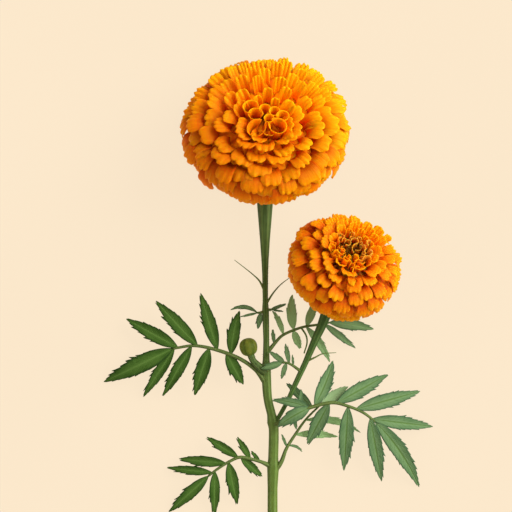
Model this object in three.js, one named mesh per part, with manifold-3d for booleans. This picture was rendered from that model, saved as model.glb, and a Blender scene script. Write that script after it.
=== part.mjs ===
// Cut marigold: a main stem with a large bloom, a side stem with a smaller bloom, one bud and divided leaves.
// Millimetres, +Z up. The stem lies along Y, cut end at -Y, and both necks bend so that the blooms look up.
// Heights count from the surface at z = 0, and x = y = 0 is under the middle of the whole flower.
import * as THREE from 'three';
import { mergeVertices } from 'three/addons/utils/BufferGeometryUtils.js';
import Module from 'manifold-3d';

// Driving dimensions
const clearance = 0.3; // air between two pieces that touch
const bladeThickness = 0.62; // leaflet blades
const petalThickness = 0.7;
const goldenAngle = 137.508; // degrees between one petal and the next
const toothReach = 0.11; // how far a saw tooth stands out, as a share of the half width
const foldHeight = 0.1; // how far the two halves of a leaflet rise from the midrib, as a share of the width
const coreSides = 16;
const coreRings = 7;
const blockSize = 400; // the surface under the flower, as a block for trimming
const rachisSides = 5;
const rachisStep = 5; // length of one facet along a rachis
const stemSides = 8;
const stemStep = 7;
const smallestDetail = 0.05; // facets that stand out by less than this are merged
const rootLift = 88; // degrees, how steeply a petal's root enters the head
const liftSpread = 8; // degrees, how much the petals' lifts differ
const skirtRootDepth = 1.6; // how far the roots of the skirt petals sink in above the calyx
const skirtFold = 7; // length of a skirt petal that hangs down past its fold
const leastSwingRadius = 6; // petals closer to the axis are spread as if they stood this far out
// Half width, set-back and rise of the points across a petal, as shares of the room it has
const petalRows = {
  root: { half: 0.2, back: [0, 0], rise: [0, 0] },
  middle: { half: 0.42, back: [0, 0, 0], rise: [0.16, -0.06, 0.16] },
  tip: { half: 0.64, back: [0.3, 0.02, 0.14, 0.02, 0.3], rise: [0, 0.05, -0.06, 0.05, 0] },
};
const toothStations = [[0.12, 1 - toothReach], [0.86, 1 + toothReach]]; // notch and point of a saw tooth

const largeBloom = {
  centre: [-1.4, 81.4, 32.2],
  axis: [0, 0.595, 0.804],
  radius: 42.3, // across the widest ring of petal tips
  front: 21, // rise of the face above that ring
  back: 27, // drop of the skirt below it, if it went on to the axis
  dimple: 7.5, // depth of the eye
  dimpleRadius: 13,
  rimAngle: 138, // where the skirt of petals ends, in degrees from the axis
  spacing: [[0, 7.8], [35, 11.2], [80, 14], [138, 15.4]], // angle from the axis, gap between tips
  lift: [[0, 76], [45, 40], [90, 28], [138, 14]], // angle from the axis, rise of the petal from the surface
  petalLength: 13,
  coreDepth: 6.2, // how far the solid middle stays below the tips
  coreRimAngle: 112,
  skirtAngle: 113, // petals further round than this arch over from the rim of the calyx
  turn: 41, // degrees, places a petal on the surface below
  calyx: [[4.3, -26], [6.4, -23.4], [8.2, -19], [9.2, -14.4], [9.7, -10]], // radius and height
};

const smallBloom = {
  centre: [37.55, 13.5, 30],
  axis: [0.217, 0.547, 0.809],
  radius: 28.75,
  front: 18,
  back: 21,
  dimple: 4,
  dimpleRadius: 9,
  rimAngle: 136,
  spacing: [[0, 6.8], [35, 10], [80, 12.2], [136, 13.4]],
  lift: [[0, 76], [45, 42], [90, 28], [136, 14]],
  petalLength: 10,
  coreDepth: 5,
  coreRimAngle: 110,
  skirtAngle: 111,
  turn: 0,
  calyx: [[3.2, -20], [4.8, -17.6], [6.1, -13.8], [6.9, -10], [7.2, -6.6]],
};

// Centre lines: x, y, z, diameter
const mainStemLine = [
  [2.15, -118.5, 2.5, 4.9], [2.15, -98.5, 3.6, 4.8], [2.4, -87, 4.8, 5.9], [2.45, -83.5, 5.1, 4.9],
  [2.7, -68.5, 6.6, 4.8], [2.3, -65, 7, 5.6], [1.55, -61, 7.4, 4.3], [-0.2, -53.5, 8, 4.2],
  [-0.95, -43.5, 8.6, 4.6], [-1.1, -38, 8.8, 4.6], [-1.1, -33.5, 9, 3.3], [-1.05, -23.5, 9.2, 2.9],
  [-1.4, -9.5, 9.2, 3.4], [-1.5, -3.5, 9.2, 2.6], [-1.6, 9, 9, 2.9], [-1.65, 16.5, 8.9, 3.5],
  [-1.7, 26.5, 8.6, 4.8], [-1.7, 36.5, 8.4, 6.4], [-1.7, 44, 8.3, 7.6], [-1.6, 51, 8.2, 8.2],
  [-1.5, 57.5, 8.5, 8.4],
];
const sideStemLine = [
  [4.3, -64, 8, 2.1], [9.15, -55.25, 9.5, 2.1], [14.05, -44.7, 10.8, 2.6], [18.95, -34.2, 11.8, 2.9],
  [23.15, -24.35, 12.1, 3.7], [26.65, -16.65, 11.4, 4.5], [29.3, -9.5, 10.6, 5.4], [31, -4, 10.2, 6.1],
];
const budCentre = [-10, -27, 13.6];
const budRadius = 4.5;
const budAxis = [-0.23, 0.97, 0.05];
const budLine = [
  [-1.6, -39.4, 10.2, 2.8], [-5, -36.6, 12.6, 2.7], [-7.6, -34, 13.3, 2.7], [-9, -30.5, 13.5, 3.2],
];
const budShape = [ // radius and height, as shares of the bud's radius
  [0.3, -1.02], [0.72, -0.8], [0.99, -0.25], [1, 0.25], [0.8, 0.66], [0.45, 0.9], [0.2, 0.96],
];
const budRibs = 6;
const calyxRibs = 8;
const ribDepth = 0.04; // of the radius

// Leaves: a rachis line as above, then leaflets with where they leave the rachis, their tip, their width, the
// teeth on each side, and where given the sideways bend to the left and the arch upwards
const leftUpperLeaf = {
  rachis: [
    [-1.6, -44.4, 8.8, 3.4], [-6, -39, 10.4, 2.1], [-13.5, -33.5, 12.4, 1.9], [-24.5, -29, 13.6, 1.8],
    [-37, -26.5, 12.4, 1.5], [-48, -28, 9.6, 1.2],
  ],
  leaflets: [
    { base: [-48, -28], tip: [-83, -45, 0.4], width: 9.3, teeth: 4, arch: 3 },
    { base: [-45.5, -27.3], tip: [-71.5, -13, 4], width: 7.4, teeth: 4, arch: 1 },
    { base: [-35.5, -26.5], tip: [-56.5, -4, 8], width: 7.5, teeth: 4, arch: 1 },
    { base: [-25.5, -28.6], tip: [-34, 0, 11], width: 7, teeth: 4, arch: 1 },
    { base: [-19, -31], tip: [-14.5, -9, 8.4], width: 6.6, teeth: 4, bend: 0.6, arch: -0.6 },
    { base: [-47, -28], tip: [-63, -52.5, 3], width: 5.7, teeth: 3, arch: 1 },
    { base: [-38.5, -26.7], tip: [-53, -52, 4], width: 6.4, teeth: 3, arch: 1 },
    { base: [-29.5, -27.6], tip: [-37, -51.5, 6], width: 7.4, teeth: 4, arch: 1 },
    { base: [-21, -30.3], tip: [-12.5, -46, 8], width: 6.7, teeth: 3 },
  ],
};
const rightUpperLeaf = {
  rachis: [
    [0, -29.2, 8.6, 2.2], [4, -24.5, 6.8, 1.5], [7, -21.5, 6, 1.4], [13.5, -18.5, 5.4, 1.3],
    [18.5, -17, 5.2, 1.2], [25.5, -16, 4.8, 1.2], [30.5, -15, 4.5, 1.1],
  ],
  leaflets: [
    { base: [30.5, -15], tip: [53, -18.5, 2.4], width: 6, teeth: 3, bend: 0.8 },
    { base: [28, -15.6], tip: [44, -28, 2.2], width: 3.7, teeth: 2 },
    { base: [7.5, -21.2], tip: [2, -9, 6], width: 2.9, teeth: 2, bend: -0.8 },
    { base: [13, -18.7], tip: [12, -1, 6], width: 5.2, teeth: 3, bend: 0.8 },
    { base: [19, -16.9], tip: [24, -4, 4.4], width: 4.5, teeth: 2 },
    { base: [3, -25.7], tip: [2, -18.5, 6], width: 2, teeth: 1 },
    { base: [19, -17], tip: [31, -35, 3], width: 4.2, teeth: 3, bend: 1 },
    { base: [12.5, -19], tip: [16, -28, 3.6], width: 3.9, teeth: 2 },
  ],
  threads: [[[16.5, -17.5, 5.2, 1], [19, -21.5, 4.6, 0.9], [19.5, -25, 4.2, 0.8], [18, -30.5, 3.6, 0.7]]],
};
const smallMiddleLeaf = {
  rachis: [[16.6, -39.6, 11.6, 1.6], [11.5, -36, 12.8, 1.2], [9, -35, 13, 1.1], [7, -35, 13, 1]],
  leaflets: [
    { base: [8.3, -35], tip: [0.5, -29.5, 12.8], width: 2.6, teeth: 2 },
    { base: [7, -35], tip: [-3.5, -38, 14.6], width: 2.9, teeth: 2 },
    { base: [9, -35.2], tip: [6.5, -43, 12], width: 2.7, teeth: 2 },
    { base: [10.5, -35.5], tip: [8.5, -25.5, 12.6], width: 2.5, teeth: 2 },
    { base: [12.5, -36.6], tip: [12, -31, 13.4], width: 1.2, teeth: 1 },
  ],
};
const rightLowerLeaf = {
  rachis: [
    [2.9, -66, 7.9, 2.6], [5, -65.2, 10, 2.1], [11, -62, 12.6, 1.7], [17, -59, 14, 1.7],
    [22.5, -57, 14.4, 1.8], [32.5, -55, 14, 1.7], [40.5, -57, 13, 1.5], [47.5, -60, 11.8, 1.4],
    [53.5, -64.5, 10.4, 1.2],
  ],
  leaflets: [
    { base: [23, -56.8], tip: [32.5, -34, 8], width: 7, teeth: 4, bend: -0.8 },
    { base: [34, -55], tip: [60, -41, 7], width: 7.7, teeth: 4, arch: 1 },
    { base: [44, -58.3], tip: [76.5, -49.5, 3.6], width: 7.7, teeth: 4, arch: 1.5 },
    { base: [52, -63.2], tip: [83, -67.5, 0.4], width: 7, teeth: 4, arch: 2 },
    { base: [53.5, -64.5], tip: [76, -98, 0.4], width: 8, teeth: 4, bend: 2, arch: 3 },
    { base: [51, -62.6], tip: [57, -95, 2.4], width: 7.4, teeth: 4, arch: 2 },
    { base: [40, -56.8], tip: [38, -89.5, 4.5], width: 7.7, teeth: 4, arch: 1 },
    { base: [30.5, -55.2], tip: [19.5, -76, 8], width: 7.4, teeth: 4 },
    { base: [27, -55.8], tip: [38.5, -48, 9.4], width: 4.5, teeth: 2, arch: -1.5 },
    { base: [20.5, -57.6], tip: [2, -54, 12.2], width: 4, teeth: 3, arch: 0.8, bend: -1 },
    { base: [20, -58], tip: [6.4, -67, 11.6], width: 5.4, teeth: 3, arch: -1, bend: 1 },
    { base: [12.5, -61.4], tip: [14, -68.5, 11], width: 2.2, teeth: 1 },
    { base: [22, -57], tip: [9, -45.5, 5.6], width: 3.7, teeth: 3, arch: -2.4 },
    { base: [16, -59.5], tip: [16.5, -48.5, 11.6], width: 2.5, teeth: 2 },
  ],
};
const rightLowShoot = {
  rachis: [
    [3.2, -89.5, 4.6, 2], [6.5, -85, 6, 1.4], [9, -78.5, 6.4, 1.3], [13, -72, 6.4, 1.2],
    [19, -63.5, 6.6, 1.1], [25.5, -57, 6.6, 0.9],
  ],
  leaflets: [
    { base: [9.4, -77.5], tip: [6.6, -71, 8.6], width: 1.4, teeth: 1 },
    { base: [9.8, -76.8], tip: [17, -80, 5.6], width: 1.4, teeth: 1, bend: 1.2 },
    { base: [13.6, -71.2], tip: [35, -72.5, 3.4], width: 4, teeth: 2, bend: 0.8 },
    { base: [18.6, -64], tip: [46.5, -70.5, 2.8], width: 3.8, teeth: 2, bend: 3 },
  ],
};
const leftLowerLeaf = {
  rachis: [
    [1.6, -87.4, 5, 2.8], [-3.5, -85, 7.6, 1.7], [-9, -83.4, 8.9, 1.6], [-14.5, -82.6, 9, 1.6],
    [-20, -85, 8.5, 1.4], [-25.5, -88.5, 7.5, 1.3], [-30, -92, 6.4, 1.1],
  ],
  leaflets: [
    { base: [-21, -85.6], tip: [-45, -83.5, 3], width: 5.5, teeth: 3, arch: 1 },
    { base: [-28, -90.5], tip: [-51, -88, 2], width: 4.6, teeth: 3, arch: 1 },
    { base: [-15, -82.7], tip: [-31, -72.5, 5], width: 4.8, teeth: 3, arch: 0.5 },
    { base: [-9, -83.4], tip: [-15.5, -72.5, 7], width: 3.6, teeth: 2 },
    { base: [-4.4, -84.7], tip: [-8.5, -79.5, 8], width: 2, teeth: 1 },
    { base: [-14, -82.7], tip: [-3, -92.4, 4.8], width: 4.6, teeth: 3 },
    { base: [-20, -85], tip: [-15.5, -106.5, 2], width: 6.3, teeth: 3, arch: 1 },
    { base: [-27, -89.6], tip: [-27, -112, 1.4], width: 5.5, teeth: 3, arch: 1 },
    { base: [-30, -92], tip: [-50, -110.5, 0.6], width: 6.3, teeth: 4, arch: 1 },
  ],
};
const smallLeftLeaf = {
  rachis: [[-1.9, -9.4, 9.6, 1.6], [-4, -9.9, 11, 1.2], [-5.6, -10, 11.2, 1]],
  leaflets: [
    { base: [-5.5, -10], tip: [-19, -8.5, 10], width: 2.2, teeth: 2, bend: -2.2 },
    { base: [-5.2, -10], tip: [-14, -12, 12.2], width: 1.3, teeth: 1 },
    { base: [-3.8, -9.9], tip: [-5.2, -18, 10.4], width: 3.2, teeth: 2 },
  ],
};
const smallRightLeaf = {
  rachis: [[-0.8, -8.6, 9.6, 1.6], [1.6, -8.4, 10.8, 1.1]],
  leaflets: [
    { base: [0.9, -8.4], tip: [9, -5.5, 11.2], width: 1.8, teeth: 2 },
    { base: [1.5, -8.4], tip: [7.5, -9.4, 10.4], width: 1, teeth: 1 },
  ],
};
const threadLines = {
  thread_left: [[-1.9, 1, 9.2, 1.4], [-4.5, 6, 10.4, 1.1], [-7.5, 9, 11, 0.9], [-17, 16.5, 10.6, 0.7]],
  thread_right: [[-1, -5.4, 9.4, 1.3], [2.5, 0, 10.6, 1], [6, 4, 11, 0.9], [10.5, 7.5, 11, 0.7]],
  thread_side: [[18.7, -34.6, 11.9, 1.3], [23.5, -32.3, 12.9, 1], [27, -30.6, 12.4, 0.9], [34, -30, 11, 0.7]],
};

const materials = {
  petalGold: { color: 0xf2930a, roughness: 0.6, metalness: 0 },
  petalOrange: { color: 0xe67a08, roughness: 0.6, metalness: 0 },
  stemGreen: { color: 0x5f7a38, roughness: 0.6, metalness: 0 },
  leafGreen: { color: 0x4d7335, roughness: 0.55, metalness: 0 },
  budGreen: { color: 0x4e5e16, roughness: 0.6, metalness: 0 },
};

const wasm = await Module();
wasm.setup();

const vector = (point) => new THREE.Vector3(point[0], point[1], point[2]);
const wave = (seed) => {
  const value = Math.sin(seed * 127.1) * 43758.5453;
  return value - Math.floor(value); // the same pseudo-random share between 0 and 1 for the same seed
};

// Straight-line reading of a table of [position, value] rows
function readTable(table, position) {
  const last = table.length - 1;
  if (position <= table[0][0]) return table[0][1];
  for (let i = 0; i < last; i += 1) {
    const [from, start] = table[i];
    const [to, end] = table[i + 1];
    if (position <= to) return start + ((end - start) * (position - from)) / (to - from);
  }
  return table[last][1];
}

// A solid from points and triangles, turned inside out if its faces point inwards
function toSolid(points, triangles) {
  const volume = triangles.reduce((sum, [a, b, c]) => {
    const normal = new THREE.Vector3().crossVectors(points[b], points[c]);
    return sum + points[a].dot(normal);
  }, 0);
  const facing = volume < 0 ? triangles.map(([a, b, c]) => [a, c, b]) : triangles;
  const mesh = new wasm.Mesh({
    numProp: 3,
    vertProperties: new Float32Array(points.flatMap((point) => point.toArray())),
    triVerts: new Uint32Array(facing.flat()),
  });
  return new wasm.Manifold(mesh);
}

// Rings with equally many points, joined into one closed skin with a fan over each end
function loft(rings) {
  const size = rings[0].length;
  const triangles = [];
  for (let ring = 0; ring < rings.length - 1; ring += 1) {
    for (let i = 0; i < size; i += 1) {
      const a = ring * size + i;
      const b = ring * size + ((i + 1) % size);
      triangles.push([a, b, b + size], [a, b + size, a + size]);
    }
  }
  const end = (rings.length - 1) * size;
  for (let i = 1; i < size - 1; i += 1) {
    triangles.push([0, i + 1, i], [end, end + i, end + i + 1]);
  }
  return toSolid(rings.flat(), triangles);
}

// A thin plate from rows of points that may differ in number, with the same triangles on both faces
function plate(rows, thickness) {
  const points = [];
  const starts = [];
  for (const row of rows) {
    starts.push(points.length);
    for (const { point, normal } of row) {
      points.push(point.clone().addScaledVector(normal, thickness / 2));
      points.push(point.clone().addScaledVector(normal, -thickness / 2));
    }
  }
  const top = (row, i) => starts[row] + 2 * i;
  const triangles = [];
  const face = (a, b, c) => triangles.push([a, b, c], [a + 1, c + 1, b + 1]);
  const wall = (a, b) => triangles.push([a, a + 1, b + 1], [a, b + 1, b]);
  for (let row = 0; row < rows.length - 1; row += 1) {
    const near = rows[row].length - 1;
    const far = rows[row + 1].length - 1;
    let i = 0;
    let j = 0;
    while (i < near || j < far) {
      const stepNear = j === far || (i < near && (i + 1) / near <= (j + 0.5) / far);
      if (stepNear) {
        face(top(row, i), top(row, i + 1), top(row + 1, j));
        i += 1;
      } else {
        face(top(row, i), top(row + 1, j + 1), top(row + 1, j));
        j += 1;
      }
    }
    wall(top(row + 1, 0), top(row, 0));
    wall(top(row, near), top(row + 1, far));
  }
  const last = rows.length - 1;
  for (let i = 0; i < rows[0].length - 1; i += 1) wall(top(0, i), top(0, i + 1));
  for (let i = 0; i < rows[last].length - 1; i += 1) wall(top(last, i + 1), top(last, i));
  return toSolid(points, triangles);
}

// A curve through the first three numbers of each row, and the diameter along it
function lineOf(rows) {
  const curve = new THREE.CatmullRomCurve3(rows.map(vector), false, 'centripetal');
  const diameters = rows.map((row, i) => [i / (rows.length - 1), row[3]]);
  return { curve, diameterAt: (t) => readTable(diameters, t) };
}

// A tube along a line of rows, in steps of about the given length, fatter by the given extra on its radius
function tube(rows, sides, stepLength, extra = 0) {
  const { curve, diameterAt } = lineOf(rows);
  const steps = Math.max(rows.length - 1, Math.ceil(curve.getLength() / stepLength));
  const rings = [];
  for (let step = 0; step <= steps; step += 1) {
    const t = step / steps;
    const centre = curve.getPoint(t);
    const along = curve.getTangent(t);
    const side = new THREE.Vector3(0, 0, 1).cross(along).normalize();
    const over = new THREE.Vector3().crossVectors(along, side);
    const radius = diameterAt(t) / 2 + extra;
    rings.push(Array.from({ length: sides }, (_, i) => {
      const angle = ((i + 0.5) / sides) * 2 * Math.PI - Math.PI / 2;
      return centre.clone()
        .addScaledVector(side, radius * Math.cos(angle))
        .addScaledVector(over, radius * Math.sin(angle));
    }));
  }
  return loft(rings);
}

// Axes of a round piece: w along its axis, u and v across it
function axesOf(axis) {
  const w = vector(axis).normalize();
  const u = new THREE.Vector3(1, 0, 0).addScaledVector(w, -w.x).normalize();
  return { u, v: new THREE.Vector3().crossVectors(w, u), w };
}

// A body round an axis from [radius, height] rows, with shallow ribs
function ribbedBody(centre, axis, profile, ribs, depth) {
  const { u, v, w } = axesOf(axis);
  const sides = ribs * 2;
  const rings = profile.map(([radius, height]) => Array.from({ length: sides }, (_, i) => {
    const angle = (i / sides) * 2 * Math.PI;
    const reach = radius * (1 + (i % 2 === 0 ? depth : -depth));
    return vector(centre)
      .addScaledVector(w, height)
      .addScaledVector(u, reach * Math.cos(angle))
      .addScaledVector(v, reach * Math.sin(angle));
  }));
  return loft(rings);
}

// The surface that a bloom's petal tips reach, seen in the half plane beside its axis
function tipSurface(bloom, degrees) {
  const angle = THREE.MathUtils.degToRad(degrees);
  const depth = degrees < 90 ? bloom.front : bloom.back;
  const radius = bloom.radius * Math.sin(angle);
  const sink = bloom.dimple * Math.exp(-((radius / bloom.dimpleRadius) ** 2));
  const sinkSlope = (2 * radius * sink) / bloom.dimpleRadius ** 2;
  const slope = new THREE.Vector2(bloom.radius * Math.cos(angle), -depth * Math.sin(angle));
  slope.y += sinkSlope * slope.x;
  const along = slope.clone().normalize();
  return {
    point: new THREE.Vector2(radius, depth * Math.cos(angle) - sink),
    along,
    out: new THREE.Vector2(-along.y, along.x),
    stretch: slope.length(),
  };
}

// The angles from the axis at which petals stand, so that each has the room that the spacing table gives it
function petalAngles(bloom) {
  const angles = [];
  const step = 0.25;
  let room = 0;
  for (let degrees = step; degrees <= bloom.rimAngle; degrees += step) {
    const { point, stretch } = tipSurface(bloom, degrees);
    const gap = readTable(bloom.spacing, degrees);
    room += (2 * Math.PI * point.x * stretch * THREE.MathUtils.degToRad(step)) / gap ** 2;
    if (room > angles.length + 0.5) angles.push(degrees);
  }
  return angles;
}

// A petal's way from its tip back to its root, as [tip, middle, root] places and headings beside the axis. On
// the face it sinks ever more steeply into the head, and on the skirt it arches over from the calyx's rim.
function petalLine(bloom, index, degrees) {
  const { point, along, out } = tipSurface(bloom, degrees);
  const tipLift = readTable(bloom.lift, degrees) + liftSpread * (wave(index + 500) - 0.5);
  const headingAt = (lift) => {
    const angle = THREE.MathUtils.degToRad(lift);
    return along.clone().multiplyScalar(Math.cos(angle)).addScaledVector(out, Math.sin(angle));
  };
  if (degrees > bloom.skirtAngle) {
    const [rimRadius, rimHeight] = bloom.calyx[bloom.calyx.length - 1];
    const root = new THREE.Vector2(rimRadius - skirtRootDepth, rimHeight + skirtRootDepth);
    const shoulder = new THREE.Vector2(bloom.radius * 0.55, rimHeight + 2 * skirtRootDepth);
    const heading = headingAt(tipLift);
    const brow = point.clone().addScaledVector(heading, -skirtFold);
    const curve = new THREE.CubicBezierCurve(root, shoulder, brow, point);
    return [1, 0.62, 0].map((t) => ({ place: curve.getPoint(t), heading: curve.getTangent(t) }));
  }
  const steps = 10;
  const length = bloom.petalLength / steps;
  const line = [{ place: point, heading: headingAt(tipLift) }];
  for (let step = 1; step <= steps; step += 1) {
    const heading = headingAt(tipLift + (rootLift - tipLift) * (step / steps) ** 0.8);
    line.push({ place: line[step - 1].place.clone().addScaledVector(heading, -length), heading });
  }
  return [line[0], line[steps / 2], line[steps]];
}

// One petal: a root, a channelled middle and a lip of lobes
function petal(bloom, axes, index, degrees) {
  const gap = readTable(bloom.spacing, degrees) * (0.94 + 0.12 * wave(index));
  const turn = THREE.MathUtils.degToRad(bloom.turn + index * goldenAngle);
  const [tip, middle, root] = petalLine(bloom, index, degrees);
  const shapes = [
    { ...root, ...petalRows.root },
    { ...middle, ...petalRows.middle },
    { ...tip, ...petalRows.tip },
  ];
  const rows = shapes.map(({ place, heading, half, back, rise }) => {
    const face = new THREE.Vector2(-heading.y, heading.x);
    return back.map((setBack, i) => {
      const share = (2 * i) / (back.length - 1) - 1;
      const flat = place.clone()
        .addScaledVector(heading, -setBack * gap)
        .addScaledVector(face, rise[i] * gap);
      const swing = turn + (share * half * gap) / Math.max(place.x, leastSwingRadius);
      const away = axes.u.clone().multiplyScalar(Math.cos(swing)).addScaledVector(axes.v, Math.sin(swing));
      const position = vector(bloom.centre).addScaledVector(away, flat.x).addScaledVector(axes.w, flat.y);
      const normal = away.clone().multiplyScalar(face.x).addScaledVector(axes.w, face.y);
      return { point: position, normal };
    });
  });
  return plate(rows, petalThickness);
}

// The solid middle that the petals stand out of, down to just above the rim of the calyx
function bloomCore(bloom) {
  const profile = [];
  for (let ring = 0; ring < coreRings; ring += 1) {
    const share = (ring + 0.4) / (coreRings - 0.6);
    const { point, out } = tipSurface(bloom, bloom.coreRimAngle * share);
    profile.push(point.addScaledVector(out, -bloom.coreDepth).toArray());
  }
  const [rimRadius, rimHeight] = bloom.calyx[bloom.calyx.length - 1];
  profile.push([rimRadius, rimHeight + clearance]);
  return ribbedBody(bloom.centre, bloom.axis, profile, coreSides / 2, 0);
}

// The space below the surface that the flower lies on
function spaceBelow() {
  const box = new THREE.BoxGeometry(blockSize, blockSize, blockSize).translate(0, 0, -blockSize / 2);
  box.deleteAttribute('normal');
  box.deleteAttribute('uv');
  const { attributes, index } = mergeVertices(box);
  const corners = Array.from({ length: attributes.position.count }, (_, i) => (
    new THREE.Vector3().fromBufferAttribute(attributes.position, i)));
  const triangles = Array.from({ length: index.count / 3 }, (_, i) => (
    [index.getX(3 * i), index.getX(3 * i + 1), index.getX(3 * i + 2)]));
  return toSolid(corners, triangles);
}
const below = spaceBelow();

// Only the largest piece of a solid, with what is sealed inside it filled
function largestPiece(solid) {
  return solid.decompose().reduce((best, piece) => (piece.volume() > best.volume() ? piece : best));
}

function bloomSolid(bloom) {
  const axes = axesOf(bloom.axis);
  const petals = petalAngles(bloom).map((degrees, index) => petal(bloom, axes, index, degrees));
  return largestPiece(wasm.Manifold.union([bloomCore(bloom), ...petals]));
}

// One leaflet: rows of left edge, midrib and right edge, with saw teeth pointing to the tip
function leaflet(rachis, { base, tip, width, teeth, bend = 0, arch = 0 }) {
  const root = nearestPoint(rachis.curve, base);
  const end = vector(tip);
  const chord = end.clone().sub(root);
  const across = new THREE.Vector3(-chord.y, chord.x, 0).normalize();
  const lay = (share) => root.clone().lerp(end, share)
    .addScaledVector(across, bend * 4 * share * (1 - share))
    .add(new THREE.Vector3(0, 0, arch * 4 * share * (1 - share)));
  const stations = [{ share: 0, half: 0.16 * width }];
  for (let tooth = 0; tooth < teeth; tooth += 1) {
    for (const [offset, reach] of toothStations) {
      const share = 0.14 + (0.8 * (tooth + offset)) / teeth;
      const outline = Math.sin(Math.PI * share ** 0.84) ** 0.8;
      stations.push({ share, half: (reach * outline * width) / 2 });
    }
  }
  const rows = stations.map(({ share, half }) => {
    const centre = lay(share);
    const along = lay(Math.min(share + 0.02, 1)).sub(lay(Math.max(share - 0.02, 0))).normalize();
    const side = new THREE.Vector3(-along.y, along.x, 0).normalize();
    const normal = new THREE.Vector3().crossVectors(along, side);
    const edge = (sign) => centre.clone()
      .addScaledVector(side, sign * half)
      .addScaledVector(normal, foldHeight * 2 * half);
    return [edge(-1), centre, edge(1)].map((point) => ({ point, normal }));
  });
  rows.push([{ point: end, normal: rows[rows.length - 1][1].normal }]);
  return plate(rows, bladeThickness);
}

// The point of a curve that lies nearest to x, y in the view from above
function nearestPoint(curve, [x, y]) {
  const points = curve.getPoints(120);
  const distance = (point) => Math.hypot(point.x - x, point.y - y);
  return points.reduce((best, point) => (distance(point) < distance(best) ? point : best));
}

function leafSolid({ rachis, leaflets, threads = [] }) {
  const line = lineOf(rachis);
  const blades = leaflets.map((shape) => leaflet(line, shape));
  const strands = threads.map((rows) => tube(rows, rachisSides, rachisStep));
  return wasm.Manifold.union([tube(rachis, rachisSides, rachisStep), ...blades, ...strands]);
}

// The last stretch of a stem, bent up into the foot of its calyx
function stemWithNeck(rows, bloom) {
  const w = vector(bloom.axis).normalize();
  const [footRadius, footHeight] = bloom.calyx[0];
  const foot = vector(bloom.centre).addScaledVector(w, footHeight);
  const neck = [4.4, clearance].map((drop) => {
    const place = foot.clone().addScaledVector(w, -drop);
    return [place.x, place.y, place.z, 2 * footRadius];
  });
  return [...rows, ...neck];
}

const mainStemRows = stemWithNeck(mainStemLine, largeBloom);
const sideStemRows = stemWithNeck(sideStemLine, smallBloom);
const stemAir = clearance / Math.cos(Math.PI / stemSides);
const mainStemSpace = tube(mainStemRows, stemSides, stemStep, stemAir);
const sideStemSpace = tube(sideStemRows, stemSides, stemStep, stemAir);

function budSolid() {
  const profile = budShape.map(([radius, height]) => [radius * budRadius, height * budRadius]);
  return ribbedBody(budCentre, budAxis, profile, budRibs, ribDepth).add(tube(budLine, stemSides, rachisStep));
}

const model = new THREE.Group();

// Adds a solid to the model as a named mesh, cut clear of the pieces that it grows from
function addPiece(name, solid, material, spaces = []) {
  const cut = spaces.reduce((rest, space) => rest.subtract(space), solid.subtract(below));
  const { vertProperties, triVerts } = largestPiece(cut).simplify(smallestDetail).getMesh();
  const geometry = new THREE.BufferGeometry();
  geometry.setAttribute('position', new THREE.BufferAttribute(vertProperties, 3));
  geometry.setIndex(new THREE.BufferAttribute(triVerts, 1));
  geometry.computeVertexNormals();
  const mesh = new THREE.Mesh(geometry, new THREE.MeshStandardMaterial(material));
  mesh.name = name;
  model.add(mesh);
}

const { petalGold, petalOrange, stemGreen, leafGreen, budGreen } = materials;
addPiece('main_stem', tube(mainStemRows, stemSides, stemStep), stemGreen);
addPiece('side_stem', tube(sideStemRows, stemSides, stemStep), stemGreen, [mainStemSpace]);
for (const [size, bloom, colour] of [['large', largeBloom, petalGold], ['small', smallBloom, petalOrange]]) {
  const cup = ribbedBody(bloom.centre, bloom.axis, bloom.calyx, calyxRibs, ribDepth);
  addPiece(`calyx_${size}`, cup, stemGreen);
  addPiece(`bloom_${size}`, bloomSolid(bloom), colour);
}
addPiece('bud', budSolid(), budGreen, [mainStemSpace]);
for (const [name, leaf] of Object.entries({
  leaf_left_upper: leftUpperLeaf,
  leaf_right_upper: rightUpperLeaf,
  leaf_small_middle: smallMiddleLeaf,
  leaf_right_lower: rightLowerLeaf,
  shoot_right_low: rightLowShoot,
  leaf_left_lower: leftLowerLeaf,
  leaf_small_left: smallLeftLeaf,
  leaf_small_right: smallRightLeaf,
})) {
  addPiece(name, leafSolid(leaf), leafGreen, [mainStemSpace, sideStemSpace]);
}
for (const [name, rows] of Object.entries(threadLines)) {
  addPiece(name, tube(rows, rachisSides, rachisStep), leafGreen, [mainStemSpace, sideStemSpace]);
}

export default model;
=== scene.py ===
# Cut marigold on a pale table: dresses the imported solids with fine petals, leaflets, ribs, veins and hairs.
# Tables are in millimetres and degrees. A mesh turns them into metres when it is made.
import bpy
import math
import numpy as np
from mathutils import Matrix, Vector


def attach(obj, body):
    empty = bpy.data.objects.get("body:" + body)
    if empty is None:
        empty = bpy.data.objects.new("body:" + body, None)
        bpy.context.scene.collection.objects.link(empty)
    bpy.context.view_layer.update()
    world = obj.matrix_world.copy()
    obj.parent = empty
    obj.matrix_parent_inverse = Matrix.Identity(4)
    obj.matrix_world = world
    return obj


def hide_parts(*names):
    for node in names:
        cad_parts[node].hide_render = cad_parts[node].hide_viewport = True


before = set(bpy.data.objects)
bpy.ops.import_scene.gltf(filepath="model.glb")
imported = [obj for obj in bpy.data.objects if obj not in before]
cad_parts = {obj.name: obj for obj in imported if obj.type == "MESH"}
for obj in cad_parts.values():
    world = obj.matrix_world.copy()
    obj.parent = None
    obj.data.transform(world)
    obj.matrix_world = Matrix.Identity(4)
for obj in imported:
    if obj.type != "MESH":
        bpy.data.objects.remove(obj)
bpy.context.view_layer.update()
print("frame loaded:", len(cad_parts), "nodes")

millimetre = 0.001
goldenAngle = 137.508  # from one petal to the next
tableGap = 0.06  # what would sink into the table is pressed flat this far above it
hairShape = {"halfWidth": 0.09, "sunk": 0.9, "lean": 0.45}
upward = np.array([0.0, 0.0, 1.0])


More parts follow.
